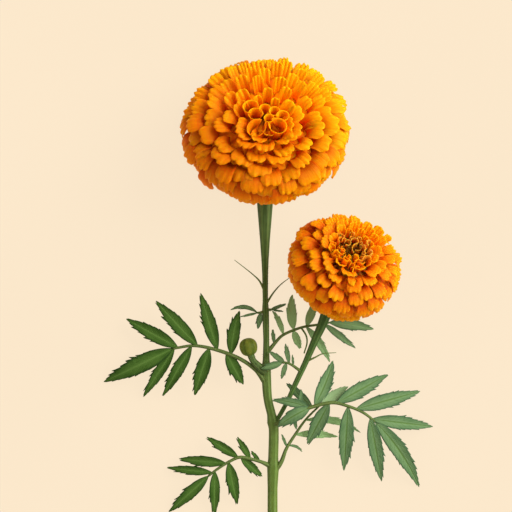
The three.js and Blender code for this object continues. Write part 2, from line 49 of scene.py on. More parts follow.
def wave(seed):
    # a share between 0 and 1, always the same for the same seed
    value = math.sin(seed * 127.1) * 43758.5453
    return value - math.floor(value)


def fade(value, start, end):
    # 0 on the near side of start, 1 past end, and even in between; end may be the lower one
    return min(1, max(0, (value - start) / (end - start)))


def readTable(table, position):
    return np.interp(position, [row[0] for row in table], [row[1] for row in table])


def unit(vectors):
    return vectors / np.maximum(np.linalg.norm(vectors, axis=-1, keepdims=True), 1e-9)


def tubeFrame(centres):
    # the way along each centre, and two ways across it
    tangent = unit(np.gradient(centres, axis=0))
    side = unit(np.cross(upward, tangent))
    return tangent, side, np.cross(tangent, side)


def anglesOf(sides):
    return np.arange(sides) / sides * 2 * math.pi


# Meshes are gathered in a store and made into one object at the end
pointKeys = ("along", "across", "tone", "under")


def newStore():
    return {"points": [], "faces": [], "finish": [], "count": 0, **{key: [] for key in pointKeys}}


def addPoints(store, points, along, across, tone, under=0.0):
    flat = points.reshape(-1, 3)
    start = store["count"]
    store["points"].append(flat)
    for key, value in zip(pointKeys, (along, across, tone, under)):
        store[key].append(np.broadcast_to(np.asarray(value, float), points.shape[:-1]).ravel())
    store["count"] += len(flat)
    return start


def addFaces(store, faces, finish=0):
    store["faces"].append(np.asarray(faces, int))
    store["finish"].append(np.full(len(faces), finish))


def addCap(store, middle, loop, finish=0, flip=False):
    fan = [(middle, b, a, a) if flip else (middle, a, b, b) for a, b in zip(loop, np.roll(loop, -1))]
    addFaces(store, fan, finish)


def quadsOf(rows, columns, start, wrap=False, flip=False):
    last = columns if wrap else columns - 1
    r, c = np.meshgrid(np.arange(rows - 1), np.arange(last), indexing="ij")
    a, b = start + r * columns + c, start + r * columns + (c + 1) % columns
    quads = np.stack([a, b, b + columns, a + columns], -1).reshape(-1, 4)
    return quads[:, ::-1] if flip else quads


def addSheet(store, grid, thickness, along, across, tone):
    # a thin sheet with a face on either side and a rim; thickness may change over the grid
    rows, columns = grid.shape[:2]
    normal = unit(np.cross(np.gradient(grid, axis=1), np.gradient(grid, axis=0)))
    shift = normal * (np.asarray(thickness) / 2)[..., None] if np.ndim(thickness) else normal * thickness / 2
    top = addPoints(store, grid + shift, along, across, tone)
    low = addPoints(store, grid - shift, along, across, tone, 1.0)
    addFaces(store, quadsOf(rows, columns, top))
    addFaces(store, quadsOf(rows, columns, low, flip=True))
    edge = [r * columns for r in range(rows)] + [(rows - 1) * columns + c for c in range(1, columns)]
    edge += [r * columns + columns - 1 for r in range(rows - 2, -1, -1)] + list(range(columns - 2, 0, -1))
    edge = np.array(edge)
    after = np.roll(edge, -1)
    addFaces(store, np.stack([top + edge, top + after, low + after, low + edge], -1))


def addRings(store, centre, axes, profile, along, across, tone, flip=True):
    # a skin round an axis; a row's points have a distance from the axis and a height along it
    rows, sides = profile.shape[:2]
    angle = anglesOf(sides)
    ring = np.cos(angle)[:, None] * axes[0] + np.sin(angle)[:, None] * axes[1]
    grid = np.array(centre) + profile[..., :1] * ring + profile[..., 1:] * axes[2]
    start = addPoints(store, grid, along, across, tone)
    addFaces(store, quadsOf(rows, sides, start, wrap=True, flip=flip))
    return grid, start


def addTube(store, centres, radii, sides, tone=0.5, finish=0, ribs=0, ribDepth=0.0, capFinish=None):
    # a closed tube along the centres, with shallow ribs that run lengthwise
    _, side, over = tubeFrame(centres)
    angle = anglesOf(sides)
    ways = side[:, None] * np.cos(angle)[:, None] + over[:, None] * np.sin(angle)[:, None]
    grid = centres[:, None] + ways * (radii[:, None] * (1 + ribDepth * np.cos(ribs * angle)))[..., None]
    along = np.linspace(0, 1, len(centres))[:, None]
    across = np.cos(ribs * angle)[None, :] if ribs else np.zeros((1, sides))
    start = addPoints(store, grid, along, across, tone)
    addFaces(store, quadsOf(len(centres), sides, start, wrap=True, flip=True), finish)
    for ring, flip in ((0, False), (len(centres) - 1, True)):
        middle = addPoints(store, centres[ring][None], along[ring], 1.0, tone)
        loop = start + ring * sides + np.arange(sides)
        addCap(store, middle, loop, finish if capFinish is None else capFinish, flip)


def addHairs(store, centres, radii, count, length, seed, finish=0):
    # stiff little hairs that lean towards the growing end
    tangent, side, over = tubeFrame(centres)
    for k in range(count):
        spot = int(wave(seed + k * 1.7) * (len(centres) - 1))
        turn = wave(seed + 300 + k * 2.3) * 2 * math.pi
        out = side[spot] * math.cos(turn) + over[spot] * math.sin(turn)
        reach = length * (0.6 + 0.8 * wave(seed + 600 + k * 3.1))
        root = centres[spot] + out * radii[spot] * hairShape["sunk"]
        tip = root + (out + tangent[spot] * hairShape["lean"]) * reach
        around = np.array([tangent[spot], np.cross(tangent[spot], out)])
        base = root + hairShape["halfWidth"] * np.vstack([around, -around])
        start = addPoints(store, np.vstack([base, tip]), 0.5, 1.0, 1.0)
        addFaces(store, [(start + j, start + (j + 1) % 4, start + 4, start + 4) for j in range(4)], finish)


def makePiece(name, store, materials, node):
    points = np.concatenate(store["points"])
    points[:, 2] = np.maximum(points[:, 2], tableGap)
    faces = [tuple(dict.fromkeys(face)) for face in np.concatenate(store["faces"]).tolist()]
    mesh = bpy.data.meshes.new(name)
    mesh.from_pydata((points * millimetre).tolist(), [], faces)
    for key in pointKeys:
        values = np.concatenate(store[key]).astype(np.float32)
        mesh.attributes.new(key, "FLOAT", "POINT").data.foreach_set("value", values)
    for material in materials:
        mesh.materials.append(material)
    mesh.polygons.foreach_set("material_index", np.concatenate(store["finish"]).astype(np.int32))
    mesh.shade_smooth()
    mesh.update()
    piece = bpy.data.objects.new(name, mesh)
    bpy.context.scene.collection.objects.link(piece)
    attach(piece, "root")
    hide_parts(node)
    print(name, "made,", sum(len(face) - 2 for face in faces), "triangles")


def curveThrough(rows, steps):
    # smooth line through the rows' first three numbers, and half their fourth number read along it
    knots = np.array([row[:3] for row in rows], float)
    knots = np.vstack([2 * knots[0] - knots[1], knots, 2 * knots[-1] - knots[-2]])
    stops = np.linspace(0, len(rows) - 1, steps + 1)
    places = []
    for stop in stops:
        segment = min(int(stop), len(rows) - 2)
        w = stop - segment
        p0, p1, p2, p3 = knots[segment:segment + 4]
        d0, d1, d2 = (math.sqrt(np.linalg.norm(b - a)) for a, b in ((p0, p1), (p1, p2), (p2, p3)))
        t1 = ((p1 - p0) / d0 - (p2 - p0) / (d0 + d1) + (p2 - p1) / d1) * d1
        t2 = ((p2 - p1) / d1 - (p3 - p1) / (d1 + d2) + (p3 - p2) / d2) * d1
        square, cube = -3 * p1 + 3 * p2 - 2 * t1 - t2, 2 * p1 - 2 * p2 + t1 + t2
        places.append(p1 + t1 * w + square * w ** 2 + cube * w ** 3)
    widths = np.interp(stops, np.arange(len(rows)), [row[3] for row in rows])
    return np.array(places), widths / 2


# Node helpers and the effects that several materials share
def addNode(tree, kind, inputs=None, **settings):
    node = tree.nodes.new(kind)
    for key, value in settings.items():
        setattr(node, key, value)
    for key, value in (inputs or {}).items():
        if isinstance(value, bpy.types.NodeSocket):
            tree.links.new(value, node.inputs[key])
        else:
            node.inputs[key].default_value = value
    return node


def mathNode(tree, operation, first, second=0.0):
    return addNode(tree, "ShaderNodeMath", {0: first, 1: second}, operation=operation).outputs[0]


def mixColour(tree, factor, first, second, blend="MIX"):
    inputs = {0: factor, 6: first, 7: second}
    return addNode(tree, "ShaderNodeMix", inputs, data_type="RGBA", blend_type=blend).outputs[2]


def partly(tree, mask, share, first, second):
    # the second colour over the first, where the mask says and only up to a share
    return mixColour(tree, mathNode(tree, "MULTIPLY", mask, share), first, second)


def graded(tree, mask, share, start):
    # a value that rises from start where the mask says
    return mathNode(tree, "ADD", mathNode(tree, "MULTIPLY", mask, share), start)


def spread(tree, value, fromLow, fromHigh, toLow=0.0, toHigh=1.0):
    inputs = {"Value": value, "From Min": fromLow, "From Max": fromHigh, "To Min": toLow, "To Max": toHigh}
    return addNode(tree, "ShaderNodeMapRange", inputs, interpolation_type="SMOOTHSTEP").outputs["Result"]


def rampNode(tree, factor, stops):
    ramp = addNode(tree, "ShaderNodeValToRGB", {"Fac": factor})
    elements = ramp.color_ramp.elements
    while len(elements) < len(stops):
        elements.new(0.5)
    for element, (position, colour) in zip(elements, stops):
        element.position = position
        element.color = (*colour, 1)
    return ramp.outputs["Color"]


def readAttribute(tree, name):
    return addNode(tree, "ShaderNodeAttribute", attribute_name=name).outputs["Fac"]


def newGroup(name, inputs, outputs):
    tree = bpy.data.node_groups.new(name, "ShaderNodeTree")
    for label, value in inputs.items():
        socket = tree.interface.new_socket(label, in_out="INPUT", socket_type="NodeSocketFloat")
        socket.default_value = value
    for label in outputs:
        tree.interface.new_socket(label, in_out="OUTPUT", socket_type="NodeSocketFloat")
    return tree, tree.nodes.new("NodeGroupInput").outputs, tree.nodes.new("NodeGroupOutput").inputs


def useGroup(tree, group, inputs):
    return addNode(tree, "ShaderNodeGroup", inputs, node_tree=group).outputs


def makeFibreGroup():
    # fine lines that run the length of a petal, a leaflet or a stem
    inputs = {"Along": 0, "Across": 0, "Tone": 0, "Count": 20, "Stretch": 2}
    tree, given, out = newGroup("lengthFibres", inputs, ["Mask"])
    spot = addNode(tree, "ShaderNodeCombineXYZ", {
        "X": mathNode(tree, "MULTIPLY", given["Across"], given["Count"]),
        "Y": mathNode(tree, "MULTIPLY", given["Along"], given["Stretch"]),
        "Z": mathNode(tree, "MULTIPLY", given["Tone"], 37.0)})
    noise = addNode(tree, "ShaderNodeTexNoise", {"Vector": spot.outputs[0], "Scale": 1.0, "Detail": 2.0})
    tree.links.new(spread(tree, noise.outputs["Fac"], 0.32, 0.68), out["Mask"])
    return tree


def makeBlotchGroup():
    # soft uneven patches, larger than a leaf's veins
    tree, given, out = newGroup("softBlotches", {"Scale": 80, "Detail": 3}, ["Value"])
    place = addNode(tree, "ShaderNodeTexCoord").outputs["Object"]
    noise = addNode(tree, "ShaderNodeTexNoise", {
        "Vector": place, "Scale": given["Scale"], "Detail": given["Detail"]})
    tree.links.new(spread(tree, noise.outputs["Fac"], 0.3, 0.7), out["Value"])
    return tree


def makeVeinGroup():
    # a midrib and slanting side veins, from a leaflet's own lengths
    inputs = {"Along": 0, "Across": 0, "Count": 9, "Slant": 0.16}
    tree, given, out = newGroup("leafVeins", inputs, ["Veins", "Midrib", "Edge"])
    away = mathNode(tree, "ABSOLUTE", given["Across"])
    slope = mathNode(tree, "MULTIPLY", away, given["Slant"])
    slanted = mathNode(tree, "SUBTRACT", given["Along"], slope)
    turns = mathNode(tree, "FRACT", mathNode(tree, "MULTIPLY", slanted, given["Count"]))
    offset = mathNode(tree, "ABSOLUTE", mathNode(tree, "SUBTRACT", turns, 0.5))
    tree.links.new(spread(tree, offset, 0.02, 0.13, 1.0, 0.0), out["Veins"])
    tree.links.new(spread(tree, away, 0.02, 0.2, 1.0, 0.0), out["Midrib"])
    tree.links.new(spread(tree, away, 0.6, 0.98), out["Edge"])
    return tree


lengthFibres, softBlotches, leafVeins = makeFibreGroup(), makeBlotchGroup(), makeVeinGroup()


def fibreMask(tree, count, stretch):
    inputs = {label: readAttribute(tree, label.lower()) for label in ("Along", "Across", "Tone")}
    return useGroup(tree, lengthFibres, {**inputs, "Count": count, "Stretch": stretch})["Mask"]


def newMaterial(name, roughness, shine=0.5, subsurface=0.0, subsurfaceScale=0.001):
    material = bpy.data.materials.new(name)
    material.use_nodes = True
    tree = material.node_tree
    tree.nodes.clear()
    output = tree.nodes.new("ShaderNodeOutputMaterial")
    shader = addNode(tree, "ShaderNodeBsdfPrincipled", {
        "Roughness": roughness, "Specular IOR Level": shine, "Subsurface Weight": subsurface,
        "Subsurface Scale": subsurfaceScale})
    tree.links.new(shader.outputs["BSDF"], output.inputs["Surface"])
    return material, tree, shader


def finishSurface(tree, shader, colour, roughness, height, bumpDepth):
    bump = addNode(tree, "ShaderNodeBump", {"Height": height, "Distance": bumpDepth, "Strength": 0.6})
    tree.links.new(colour, shader.inputs["Base Color"])
    tree.links.new(roughness, shader.inputs["Roughness"])
    tree.links.new(bump.outputs["Normal"], shader.inputs["Normal"])


# Petals: a dark throat, a golden lip, fine lengthwise lines, and no two petals quite alike. The throat's
# darkness is partly the petal's own deeper orange and partly painted shade under the next lip.
# A tone up to 1 runs from darker to lighter petals, at random and with painted shade on a head's lower left
# and painted light on its upper right, and one above 1 turns a petal brown with an ochre lip.
petalFinishes = {
    "petalGold": {
        "stops": [(0.0, (0.30, 0.03, 0.001)), (0.42, (0.56, 0.09, 0.001)), (0.63, (0.82, 0.19, 0.001)),
                  (0.82, (0.97, 0.29, 0.001)), (1.0, (1.0, 0.37, 0.001))],
        "deepAndShaded": (0.86, 0.64, 0.5, 1), "brightAndLit": (1.0, 0.46, 0.001, 1),
        "brown": (0.16, 0.05, 0.004, 1), "ochre": (0.55, 0.22, 0.012, 1),
    },
    "petalOrange": {
        "stops": [(0.0, (0.26, 0.025, 0.001)), (0.42, (0.52, 0.075, 0.001)), (0.63, (0.76, 0.155, 0.001)),
                  (0.82, (0.91, 0.25, 0.001)), (1.0, (0.96, 0.32, 0.001))],
        "deepAndShaded": (0.95, 0.78, 0.65, 1), "brightAndLit": (0.98, 0.37, 0.001, 1),
        "brown": (0.17, 0.06, 0.006, 1), "ochre": (0.74, 0.32, 0.03, 1),
    },
}


def petalMaterial(name):
    chosen = petalFinishes[name]
    material, tree, shader = newMaterial(name, 0.6, shine=0.04, subsurface=0.5, subsurfaceScale=0.003)
    shader.inputs["Subsurface Radius"].default_value = (1.0, 0.3, 0.05)
    along, tone = readAttribute(tree, "along"), readAttribute(tree, "tone")
    fibres = fibreMask(tree, 9.0, 1.6)
    throat = rampNode(tree, along, chosen["stops"])
    # a low tone darkens the lip and a high one lightens it: random differences, plus painted shade on a head's
    # lower left and painted light on its upper right
    share = mathNode(tree, "FRACT", tone)
    lip = mixColour(tree, spread(tree, share, 0.5, 1.0, 0.0, 0.55), throat, chosen["brightAndLit"])
    darker = mixColour(tree, 1.0, lip, chosen["deepAndShaded"], "MULTIPLY")
    lip = mixColour(tree, spread(tree, share, 0.5, 0.0, 0.0, 0.75), lip, darker)
    colour = mixColour(tree, spread(tree, along, 0.55, 0.9), throat, lip)
    lined = mixColour(tree, 1.0, colour, (0.9, 0.74, 0.6, 1), "MULTIPLY")
    colour = partly(tree, fibres, 0.45, colour, lined)
    brown = mixColour(tree, spread(tree, along, 0.5, 0.92), chosen["brown"], chosen["ochre"])
    colour = mixColour(tree, spread(tree, tone, 0.9, 1.7), colour, brown)
    finishSurface(tree, shader, colour, graded(tree, fibres, 0.14, 0.46), fibres, 0.00016)
    return material


petalGold, petalOrange = petalMaterial("petalGold"), petalMaterial("petalOrange")
print("petal finishes made")

# What all petals share
petalShape = {
    "grid": (13, 21), "backGrid": (10, 15), "backFrom": 95,  # rows and columns, fewer behind these degrees
    "thickness": 0.24, "lineSteps": 28, "rootLift": 88, "rootDepth": 1.6, "skirtFold": 7,
    "flare": 1.15, "tubeFlare": 0.6, "mostCurl": 200, "lowerFlat": 0.7, "lowerNarrow": 0.14,
    # shares of the room that a petal has
    "notch": 0.17, "corner": 0.28, "fineTeeth": 0.1, "pleat": 0.05, "ridge": 0.13, "edgeDrop": 0.08,
    "frill": 0.05, "funnelFlare": 0.28, "slide": 0.2, "ragged": 0.36, "eyeRagged": 0.16, "tubeClear": 0.74,
    # how they differ from one another
    "scatter": 0.42, "backScatter": 0.252, "sizeSpread": 0.4, "skirtSpread": 0.35,
    "twist": 18, "backTwist": 4.5, "curlyTwist": 72, "curlyYaw": 150, "curlyRise": 3.6,
    # painted shade on the lower left, painted light on the upper right, and a little painted shade in a tube
    "paintedShadeTurn": 225, "paintedShadeShown": 0.25, "paintedLightTurn": 50, "glow": 0.75, "tubePaintedShade": 0.02,
}
# the core's folds: painted shade in their valleys
coreShape = {"rows": 20, "sides": 120, "foldHeight": 1.6, "foldDark": 0.28, "foldLight": 0.54}

# A head's tables run from its eye at 0 degrees over its edge at 90 to the rim behind
largeHead = {
    "centre": (-1.4, 81.4, 32.2), "axis": (0, 0.595, 0.804), "seed": 0,
    "radius": 42.3, "front": 21, "back": 27, "rimAngle": 138,
    "dimple": 1.2, "dimpleRadius": 14, "eyeTilt": 12,
    # the room of each petal, and how they crowd towards the side where they stand as pleats
    "turn": 41, "pleatTurn": 90, "crowding": 0.28,
    "room": [[0, 6.7], [15, 7.8], [26, 9.0], [50, 9.3], [85, 8.8], [100, 7.2], [138, 7.0]],
    # tubes of the eye: place beside the middle, and room
    "eyeHole": 12, "tubeAngle": 14, "tubeRise": 1.8, "curlyAngle": 0,
    "eyeTubes": [[1.2, 0.2, 4.3], [-4.4, 2.6, 6.4], [-3.2, -4.4, 8.2], [4.8, -4.5, 7.6], [-0.4, 5.9, 5.2],
                 [4.4, 4.5, 4.7], [7.8, 0.8, 5.4]],
    # a petal's line from root to lip: length, the lip's angle off the head, and where the bend ends
    "length": [[0, 13], [45, 16], [113, 16]],
    "lift": [[0, 84], [14, 80], [15, 50], [25, 14], [60, 4], [90, 2], [138, 4]], "liftSpread": 26,
    "bendShare": [[0, 0.3], [14, 0.36], [24, 0.62], [50, 0.76], [138, 0.8]], "throatDrop": 0.34,
    # across it: width as a share of its room, and curl
    "rootWidth": [[0, 1.3], [20, 1.0], [50, 0.7], [138, 0.55]],
    "lipWidth": [[0, 3.2], [14, 3.2], [15, 1.5], [22, 1.22], [40, 1.2], [60, 1.3], [90, 1.42], [138, 1.45]],
    "rootCurl": [[0, 190], [30, 180], [60, 90], [90, 30], [138, 0]],
    "lipCurl": [[0, 330], [14, 325], [15, 130], [24, 70], [34, 10], [60, -45], [90, -35], [138, -20]],
    "pleatLift": 62, "pleatCurl": 95, "pleatNarrow": 0.2, "pleatPlain": 0.5,
    # the petals behind, which hang from the calyx's rim, and the core under all of them
    "skirtAngle": 113, "calyxRim": (9.7, -10),
    "coreDepth": [[0, 9], [30, 8.4], [60, 5.8], [90, 4.4], [112, 3.8]], "coreRim": 112,
    # painted shade on the lower left petals, and painted light on the upper right ones
    "shade": 0.6, "shine": 0.45,
}
smallHead = {
    "centre": (37.55, 13.5, 30), "axis": (0.217, 0.547, 0.809), "seed": 4300,
    "radius": 28.75, "front": 18, "back": 21, "rimAngle": 136,
    "dimple": 4, "dimpleRadius": 9, "eyeTilt": 0,
    "turn": 0, "pleatTurn": 55, "crowding": 0.2,
    "room": [[0, 2.9], [20, 3.4], [26, 5.4], [38, 7.2], [50, 7.8], [90, 7.4], [105, 6.2], [136, 6.2]],
    "eyeHole": 5, "tubeAngle": 13, "tubeRise": 0, "curlyAngle": 24, "eyeTubes": [],
    "length": [[0, 9], [45, 12], [111, 12]],
    "lift": [[0, 80], [18, 66], [26, 40], [36, 14], [60, 4], [90, 2], [136, 4]], "liftSpread": 36,
    "bendShare": [[0, 0.3], [20, 0.36], [32, 0.62], [50, 0.76], [136, 0.8]], "throatDrop": 0.16,
    "rootWidth": [[0, 1.2], [25, 0.9], [50, 0.45], [136, 0.5]],
    "lipWidth": [[0, 2.2], [20, 2.2], [25, 1.4], [36, 1.22], [60, 1.3], [90, 1.46], [136, 1.5]],
    "rootCurl": [[0, 190], [30, 180], [60, 90], [90, 30], [136, 0]],
    "lipCurl": [[0, 320], [18, 300], [24, 150], [30, 20], [45, -30], [90, -35], [136, -20]],
    "pleatLift": 66, "pleatCurl": 110, "pleatNarrow": 0.22, "pleatPlain": 0.85,
    "skirtAngle": 111, "calyxRim": (7.2, -6.6),
    "coreDepth": [[0, 7], [30, 6], [60, 4.5], [110, 3.5]], "coreRim": 110,
    # no painted shade here, and painted light on the upper right petals
    "shade": 0, "shine": 0.28,
}


def headAxes(axis):
    w = unit(np.array(axis, float))
    u = unit(np.array([1.0, 0, 0]) - w * w[0])
    return u, np.cross(w, u), w


def tipSurface(head, degrees):
    # where the petals' tips reach, in the half plane beside the head's axis
    angle = math.radians(degrees)
    depth = head["front"] if degrees < 90 else head["back"]
    point = np.array([head["radius"] * math.sin(angle), depth * math.cos(angle)])
    slope = np.array([head["radius"] * math.cos(angle), -depth * math.sin(angle)])
    along = unit(slope)
    return point, along, np.array([-along[1], along[0]]), np.linalg.norm(slope)


def petalSpots(head):
    # the tubes of the eye, then petals that each stand a golden angle on, as far out as their room asks for
    grown, area, step = [], 0.0, 0.25
    for degrees in np.arange(step, head["rimAngle"] + step, step):
        point, _, _, stretch = tipSurface(head, degrees)
        area += 2 * math.pi * point[0] * stretch * math.radians(step) / readTable(head["room"], degrees) ** 2
        if area > len(grown) + 0.5:
            turn = math.radians(head["turn"] + len(grown) * goldenAngle)
            turn -= head["crowding"] * math.sin(turn - math.radians(head["pleatTurn"])) * fade(degrees, 0, 50)
            grown.append((degrees, turn))
    spots = [(math.degrees(math.asin(math.hypot(x, y) / head["radius"])), math.atan2(y, x), room)
             for x, y, room in head["eyeTubes"]]
    for degrees, turn in grown:
        reach = head["radius"] * math.sin(math.radians(degrees))
        away = [math.hypot(x - reach * math.cos(turn), y - reach * math.sin(turn)) / room
                for x, y, room in head["eyeTubes"]]
        if degrees > head["eyeHole"] and min(away, default=1) > petalShape["tubeClear"]:
            spots.append((degrees, turn, None))
    return spots


def growPetal(head, index, degrees, turn, room):
    # where a petal stands, and how much it is an open lip, an upright pleat and below the eye, as shares
    shape, seed = petalShape, index + head["seed"]
    towards = math.radians(head["pleatTurn"])
    grid = shape["backGrid"] if degrees > shape["backFrom"] else shape["grid"]
    if not room:
        room = readTable(head["room"], degrees) * (1 + shape["sizeSpread"] * (wave(seed) - 0.5))
        room *= 1 - head["crowding"] * math.cos(turn - towards) * fade(degrees, 0, 50)
        scatter = shape["backScatter" if degrees > 80 else "scatter"] * room * fade(degrees, 0, 20)
        point, _, _, stretch = tipSurface(head, degrees)
        turn += scatter * (wave(seed + 3100) - 0.5) / max(point[0], 8)
        degrees += math.degrees(scatter * (wave(seed + 3300) - 0.5) / stretch)
    facing = math.cos(turn - towards)
    return {
        "seed": seed, "grid": grid, "degrees": degrees, "turn": turn, "room": room, "facing": facing,
        "openLip": fade(degrees, head["tubeAngle"], head["tubeAngle"] + 2), "lower": 0.5 - 0.5 * facing,
        "pleated": max(0, facing) * fade(degrees, 105, 70), "curly": degrees < head["curlyAngle"],
    }


def tipPlace(head, degrees, turn):
    # a petal's spot along the head's three axes; the eye leans off the middle and lies in a hollow
    lean = math.radians(head["eyeTilt"]) * max(0, 1 - degrees / 100)
    angle = math.radians(degrees)
    x, y, z = math.sin(angle) * math.cos(turn), math.sin(angle) * math.sin(turn), math.cos(angle)
    y, z = y * math.cos(lean) - z * math.sin(lean), y * math.sin(lean) + z * math.cos(lean)
    away = head["radius"] * math.sin(min(angle, math.pi / 2)) / head["dimpleRadius"]
    depth = head["front"] if z > 0 else head["back"]
    sink = head["dimple"] * math.exp(-away ** 2)
    return np.array([head["radius"] * x, head["radius"] * y, depth * z - sink])


def petalStance(head, petal, axes):
    # a petal's spot, the way from the eye along the surface, and the way out of it
    degrees, turn, seed = petal["degrees"], petal["turn"], petal["seed"]
    spot = tipPlace(head, degrees, turn)
    forward = unit(tipPlace(head, degrees + 1, turn) - spot)
    out = unit(np.cross(forward, tipPlace(head, degrees, turn + 0.02) - spot))
    spot, forward, out = (part @ np.array(axes) for part in (spot, forward, out))
    spot = spot + out * head["tubeRise"] * petal["lower"] * (1 - petal["openLip"])
    if petal["curly"]:
        yaw = math.radians(petalShape["curlyYaw"] * (wave(seed + 4400) - 0.5))
        forward = forward * math.cos(yaw) + np.cross(out, forward) * math.sin(yaw)
        spot = spot + out * petalShape["curlyRise"] * (wave(seed + 4500) - 0.55)
    return spot, forward, out


def skirtLine(head, degrees, lift, start):
    # a petal behind hangs from the calyx's rim: one curve from there to its lip
    point, along, out, _ = tipSurface(head, degrees)
    rimRadius, rimHeight = head["calyxRim"]
    depth = petalShape["rootDepth"]
    foot = [(rimRadius - depth, rimHeight + depth), (head["radius"] * 0.55, rimHeight + 2 * depth)]
    foot = [start + np.array([(corner - point) @ along, (corner - point) @ out]) for corner in np.array(foot)]
    turned = np.array([math.cos(math.radians(lift)), math.sin(math.radians(lift))])
    corners = [*foot, start - turned * petalShape["skirtFold"], start]
    t = np.linspace(0, 1, petalShape["lineSteps"] + 1)[:, None]
    weights = ((1 - t) ** 3, 3 * (1 - t) ** 2 * t, 3 * (1 - t) * t ** 2, t ** 3)
    places = sum(corner * weight for corner, weight in zip(corners, weights))
    return places, unit(np.gradient(places, axis=0))


def petalLine(head, petal):
    # from root to lip: places and headings along the head's surface and out of it, from the petal's spot
    shape, seed, degrees, lower = petalShape, petal["seed"], petal["degrees"], petal["lower"]
    loose = head["liftSpread"] * fade(degrees, 0, 30) * (shape["skirtSpread"] if degrees > 100 else 1)
    lift = readTable(head["lift"], degrees) + loose * (wave(seed + 500) - 0.15)
    lift += head["pleatLift"] * petal["pleated"] * (1 - lift / shape["rootLift"])
    eyeRim = max(head["tubeAngle"], head["curlyAngle"])
    # lips below the eye lie flatter, and their throats bend sooner
    lift *= 1 - shape["lowerFlat"] * lower * fade(degrees, eyeRim, eyeRim + 12)
    drop = head["throatDrop"] * lower * fade(degrees, 15, 45) * fade(degrees, 100, 70)
    bendShare = readTable(head["bendShare"], degrees) * (1 - drop)
    ragged = shape["ragged"] if degrees > 30 else shape["eyeRagged"]
    shift = np.array([shape["slide"] * (wave(seed + 2300) - 0.5), ragged * (wave(seed + 1700) - 0.5)])
    start = readTable(head["room"], degrees) * shift
    if degrees > head["skirtAngle"]:
        return skirtLine(head, degrees, lift, start)
    steps, length = shape["lineSteps"], readTable(head["length"], degrees)
    places, headings = [start], []
    for step in range(steps + 1):
        angle = math.radians(lift + (shape["rootLift"] - lift) * min(1.0, step / steps / bendShare))
        headings.append(np.array([math.cos(angle), math.sin(angle)]))
        places.append(places[-1] - headings[-1] * length / steps)
    return np.array(places[:steps + 1])[::-1], np.array(headings)[::-1]


def lipOutline(head, petal, across):
    # two to four lobes across the lip, and how far back its corners, notches and fine teeth lie
    shape, seed, pleated = petalShape, petal["seed"], petal["pleated"]
    count = 2 + int(3 * wave(seed + 900) ** 1.4 * 0.999)
    count = max(count, 3) if pleated > 0.4 else count
    lobes = np.abs(np.sin(math.pi * count * (across + 1) / 2 + 0.5 * (wave(seed + 950) - 0.5)))
    teeth = np.abs(np.mod(across * 3.6 + wave(seed + 970), 1) - 0.5) * fade(petal["degrees"], 0, 90)
    plain = 1 - head["pleatPlain"] * pleated
    back = shape["corner"] * np.abs(across) ** 2.6
    back = back + plain * (shape["notch"] * (1 - lobes ** 0.55) + shape["fineTeeth"] * teeth)
    return lobes, back * (0.25 + 0.75 * petal["openLip"])


def petalSection(head, petal, across, share, lobes):
    # how far each point stands to the side of the petal's line and out of its face
    shape, seed, degrees, room = petalShape, petal["seed"], petal["degrees"], petal["room"]
    pleated, lower, openLip = petal["pleated"], petal["lower"], petal["openLip"]
    rootWidth, lipWidth = readTable(head["rootWidth"], degrees), readTable(head["lipWidth"], degrees)
    rootCurl, lipCurl = readTable(head["rootCurl"], degrees), readTable(head["lipCurl"], degrees)
    lipWidth *= 1 - (head["pleatNarrow"] * pleated + shape["lowerNarrow"] * lower) * openLip
    lipCurl = max(lipCurl, min(lipCurl + head["pleatCurl"] * pleated, shape["mostCurl"]))
    if petal["curly"]:
        lipWidth *= 0.6 + 0.45 * wave(seed + 4200)
        lipCurl *= 0.4 + 0.7 * wave(seed + 4300)
    widening = share ** (shape["flare"] + shape["tubeFlare"] * (1 - openLip))
    width = room * (rootWidth + (lipWidth - rootWidth) * widening)
    opened = np.clip((share - 0.25) / 0.6, 0, 1)
    curl = np.radians(rootCurl + (lipCurl - rootCurl) * opened * opened * (3 - 2 * opened))
    bent = across * curl / 2
    side = width * across / 2 * np.sinc(bent / math.pi)
    rise = width * curl * across ** 2 / 8 * np.sinc(bent / 2 / math.pi) ** 2
    rise = rise - rise[-1].mean() * (1 - openLip)  # a tube stands round its spot
    mouth = shape["funnelFlare"] * lower * np.cos(across * math.pi / 2) ** 0.7 * share ** 4
    ridges = (shape["pleat"] + shape["ridge"] * pleated) * (lobes - 0.6) * share ** 1.6
    frill = shape["frill"] * np.sin(across * (8 + 4 * wave(seed + 990)) + seed) * share ** 5
    edge = shape["edgeDrop"] * np.abs(across) ** 3 * share ** 4
    rise = rise + room * (ridges * (0.2 + 0.8 * openLip) + (frill - edge) * openLip - mouth * (1 - openLip))
    most = openLip * shape["backTwist" if degrees > 80 else "twist"]
    twist = math.radians((shape["curlyTwist"] if petal["curly"] else most) * 2 * (wave(seed + 1200) - 0.5))
    return side * math.cos(twist) - rise * math.sin(twist), side * math.sin(twist) + rise * math.cos(twist)


def petalTone(head, petal, share):
    # how much throat or lip shows along a petal, and its tone, which differs at random; painted shade on the
    # head's lower left and in a tube, and painted light on its upper right, shift both
    shape, turn, openLip = petalShape, petal["turn"], petal["openLip"]
    shade = head["shade"] * max(0, math.cos(turn - math.radians(shape["paintedShadeTurn"])))
    sunny = max(0, math.cos(turn - math.radians(shape["paintedLightTurn"])))
    glow = shape["glow"] * sunny
    tone = (0.2 + 0.6 * wave(petal["seed"] + 70)) * (1 - shade) * (1 - glow) + 0.99 * glow
    if petal["curly"]:
        tone = 0.35 * tone + 1.1 + 0.5 * petal["facing"]
    # less lip shows in a tube and on the lower left, as painted shade; more on the upper right, as painted
    # light
    shown = share * (1 - shape["tubePaintedShade"] * (1 - openLip)) * (1 - shape["paintedShadeShown"] * shade)
    return shown + head["shine"] * sunny * openLip * (1 - shown), tone


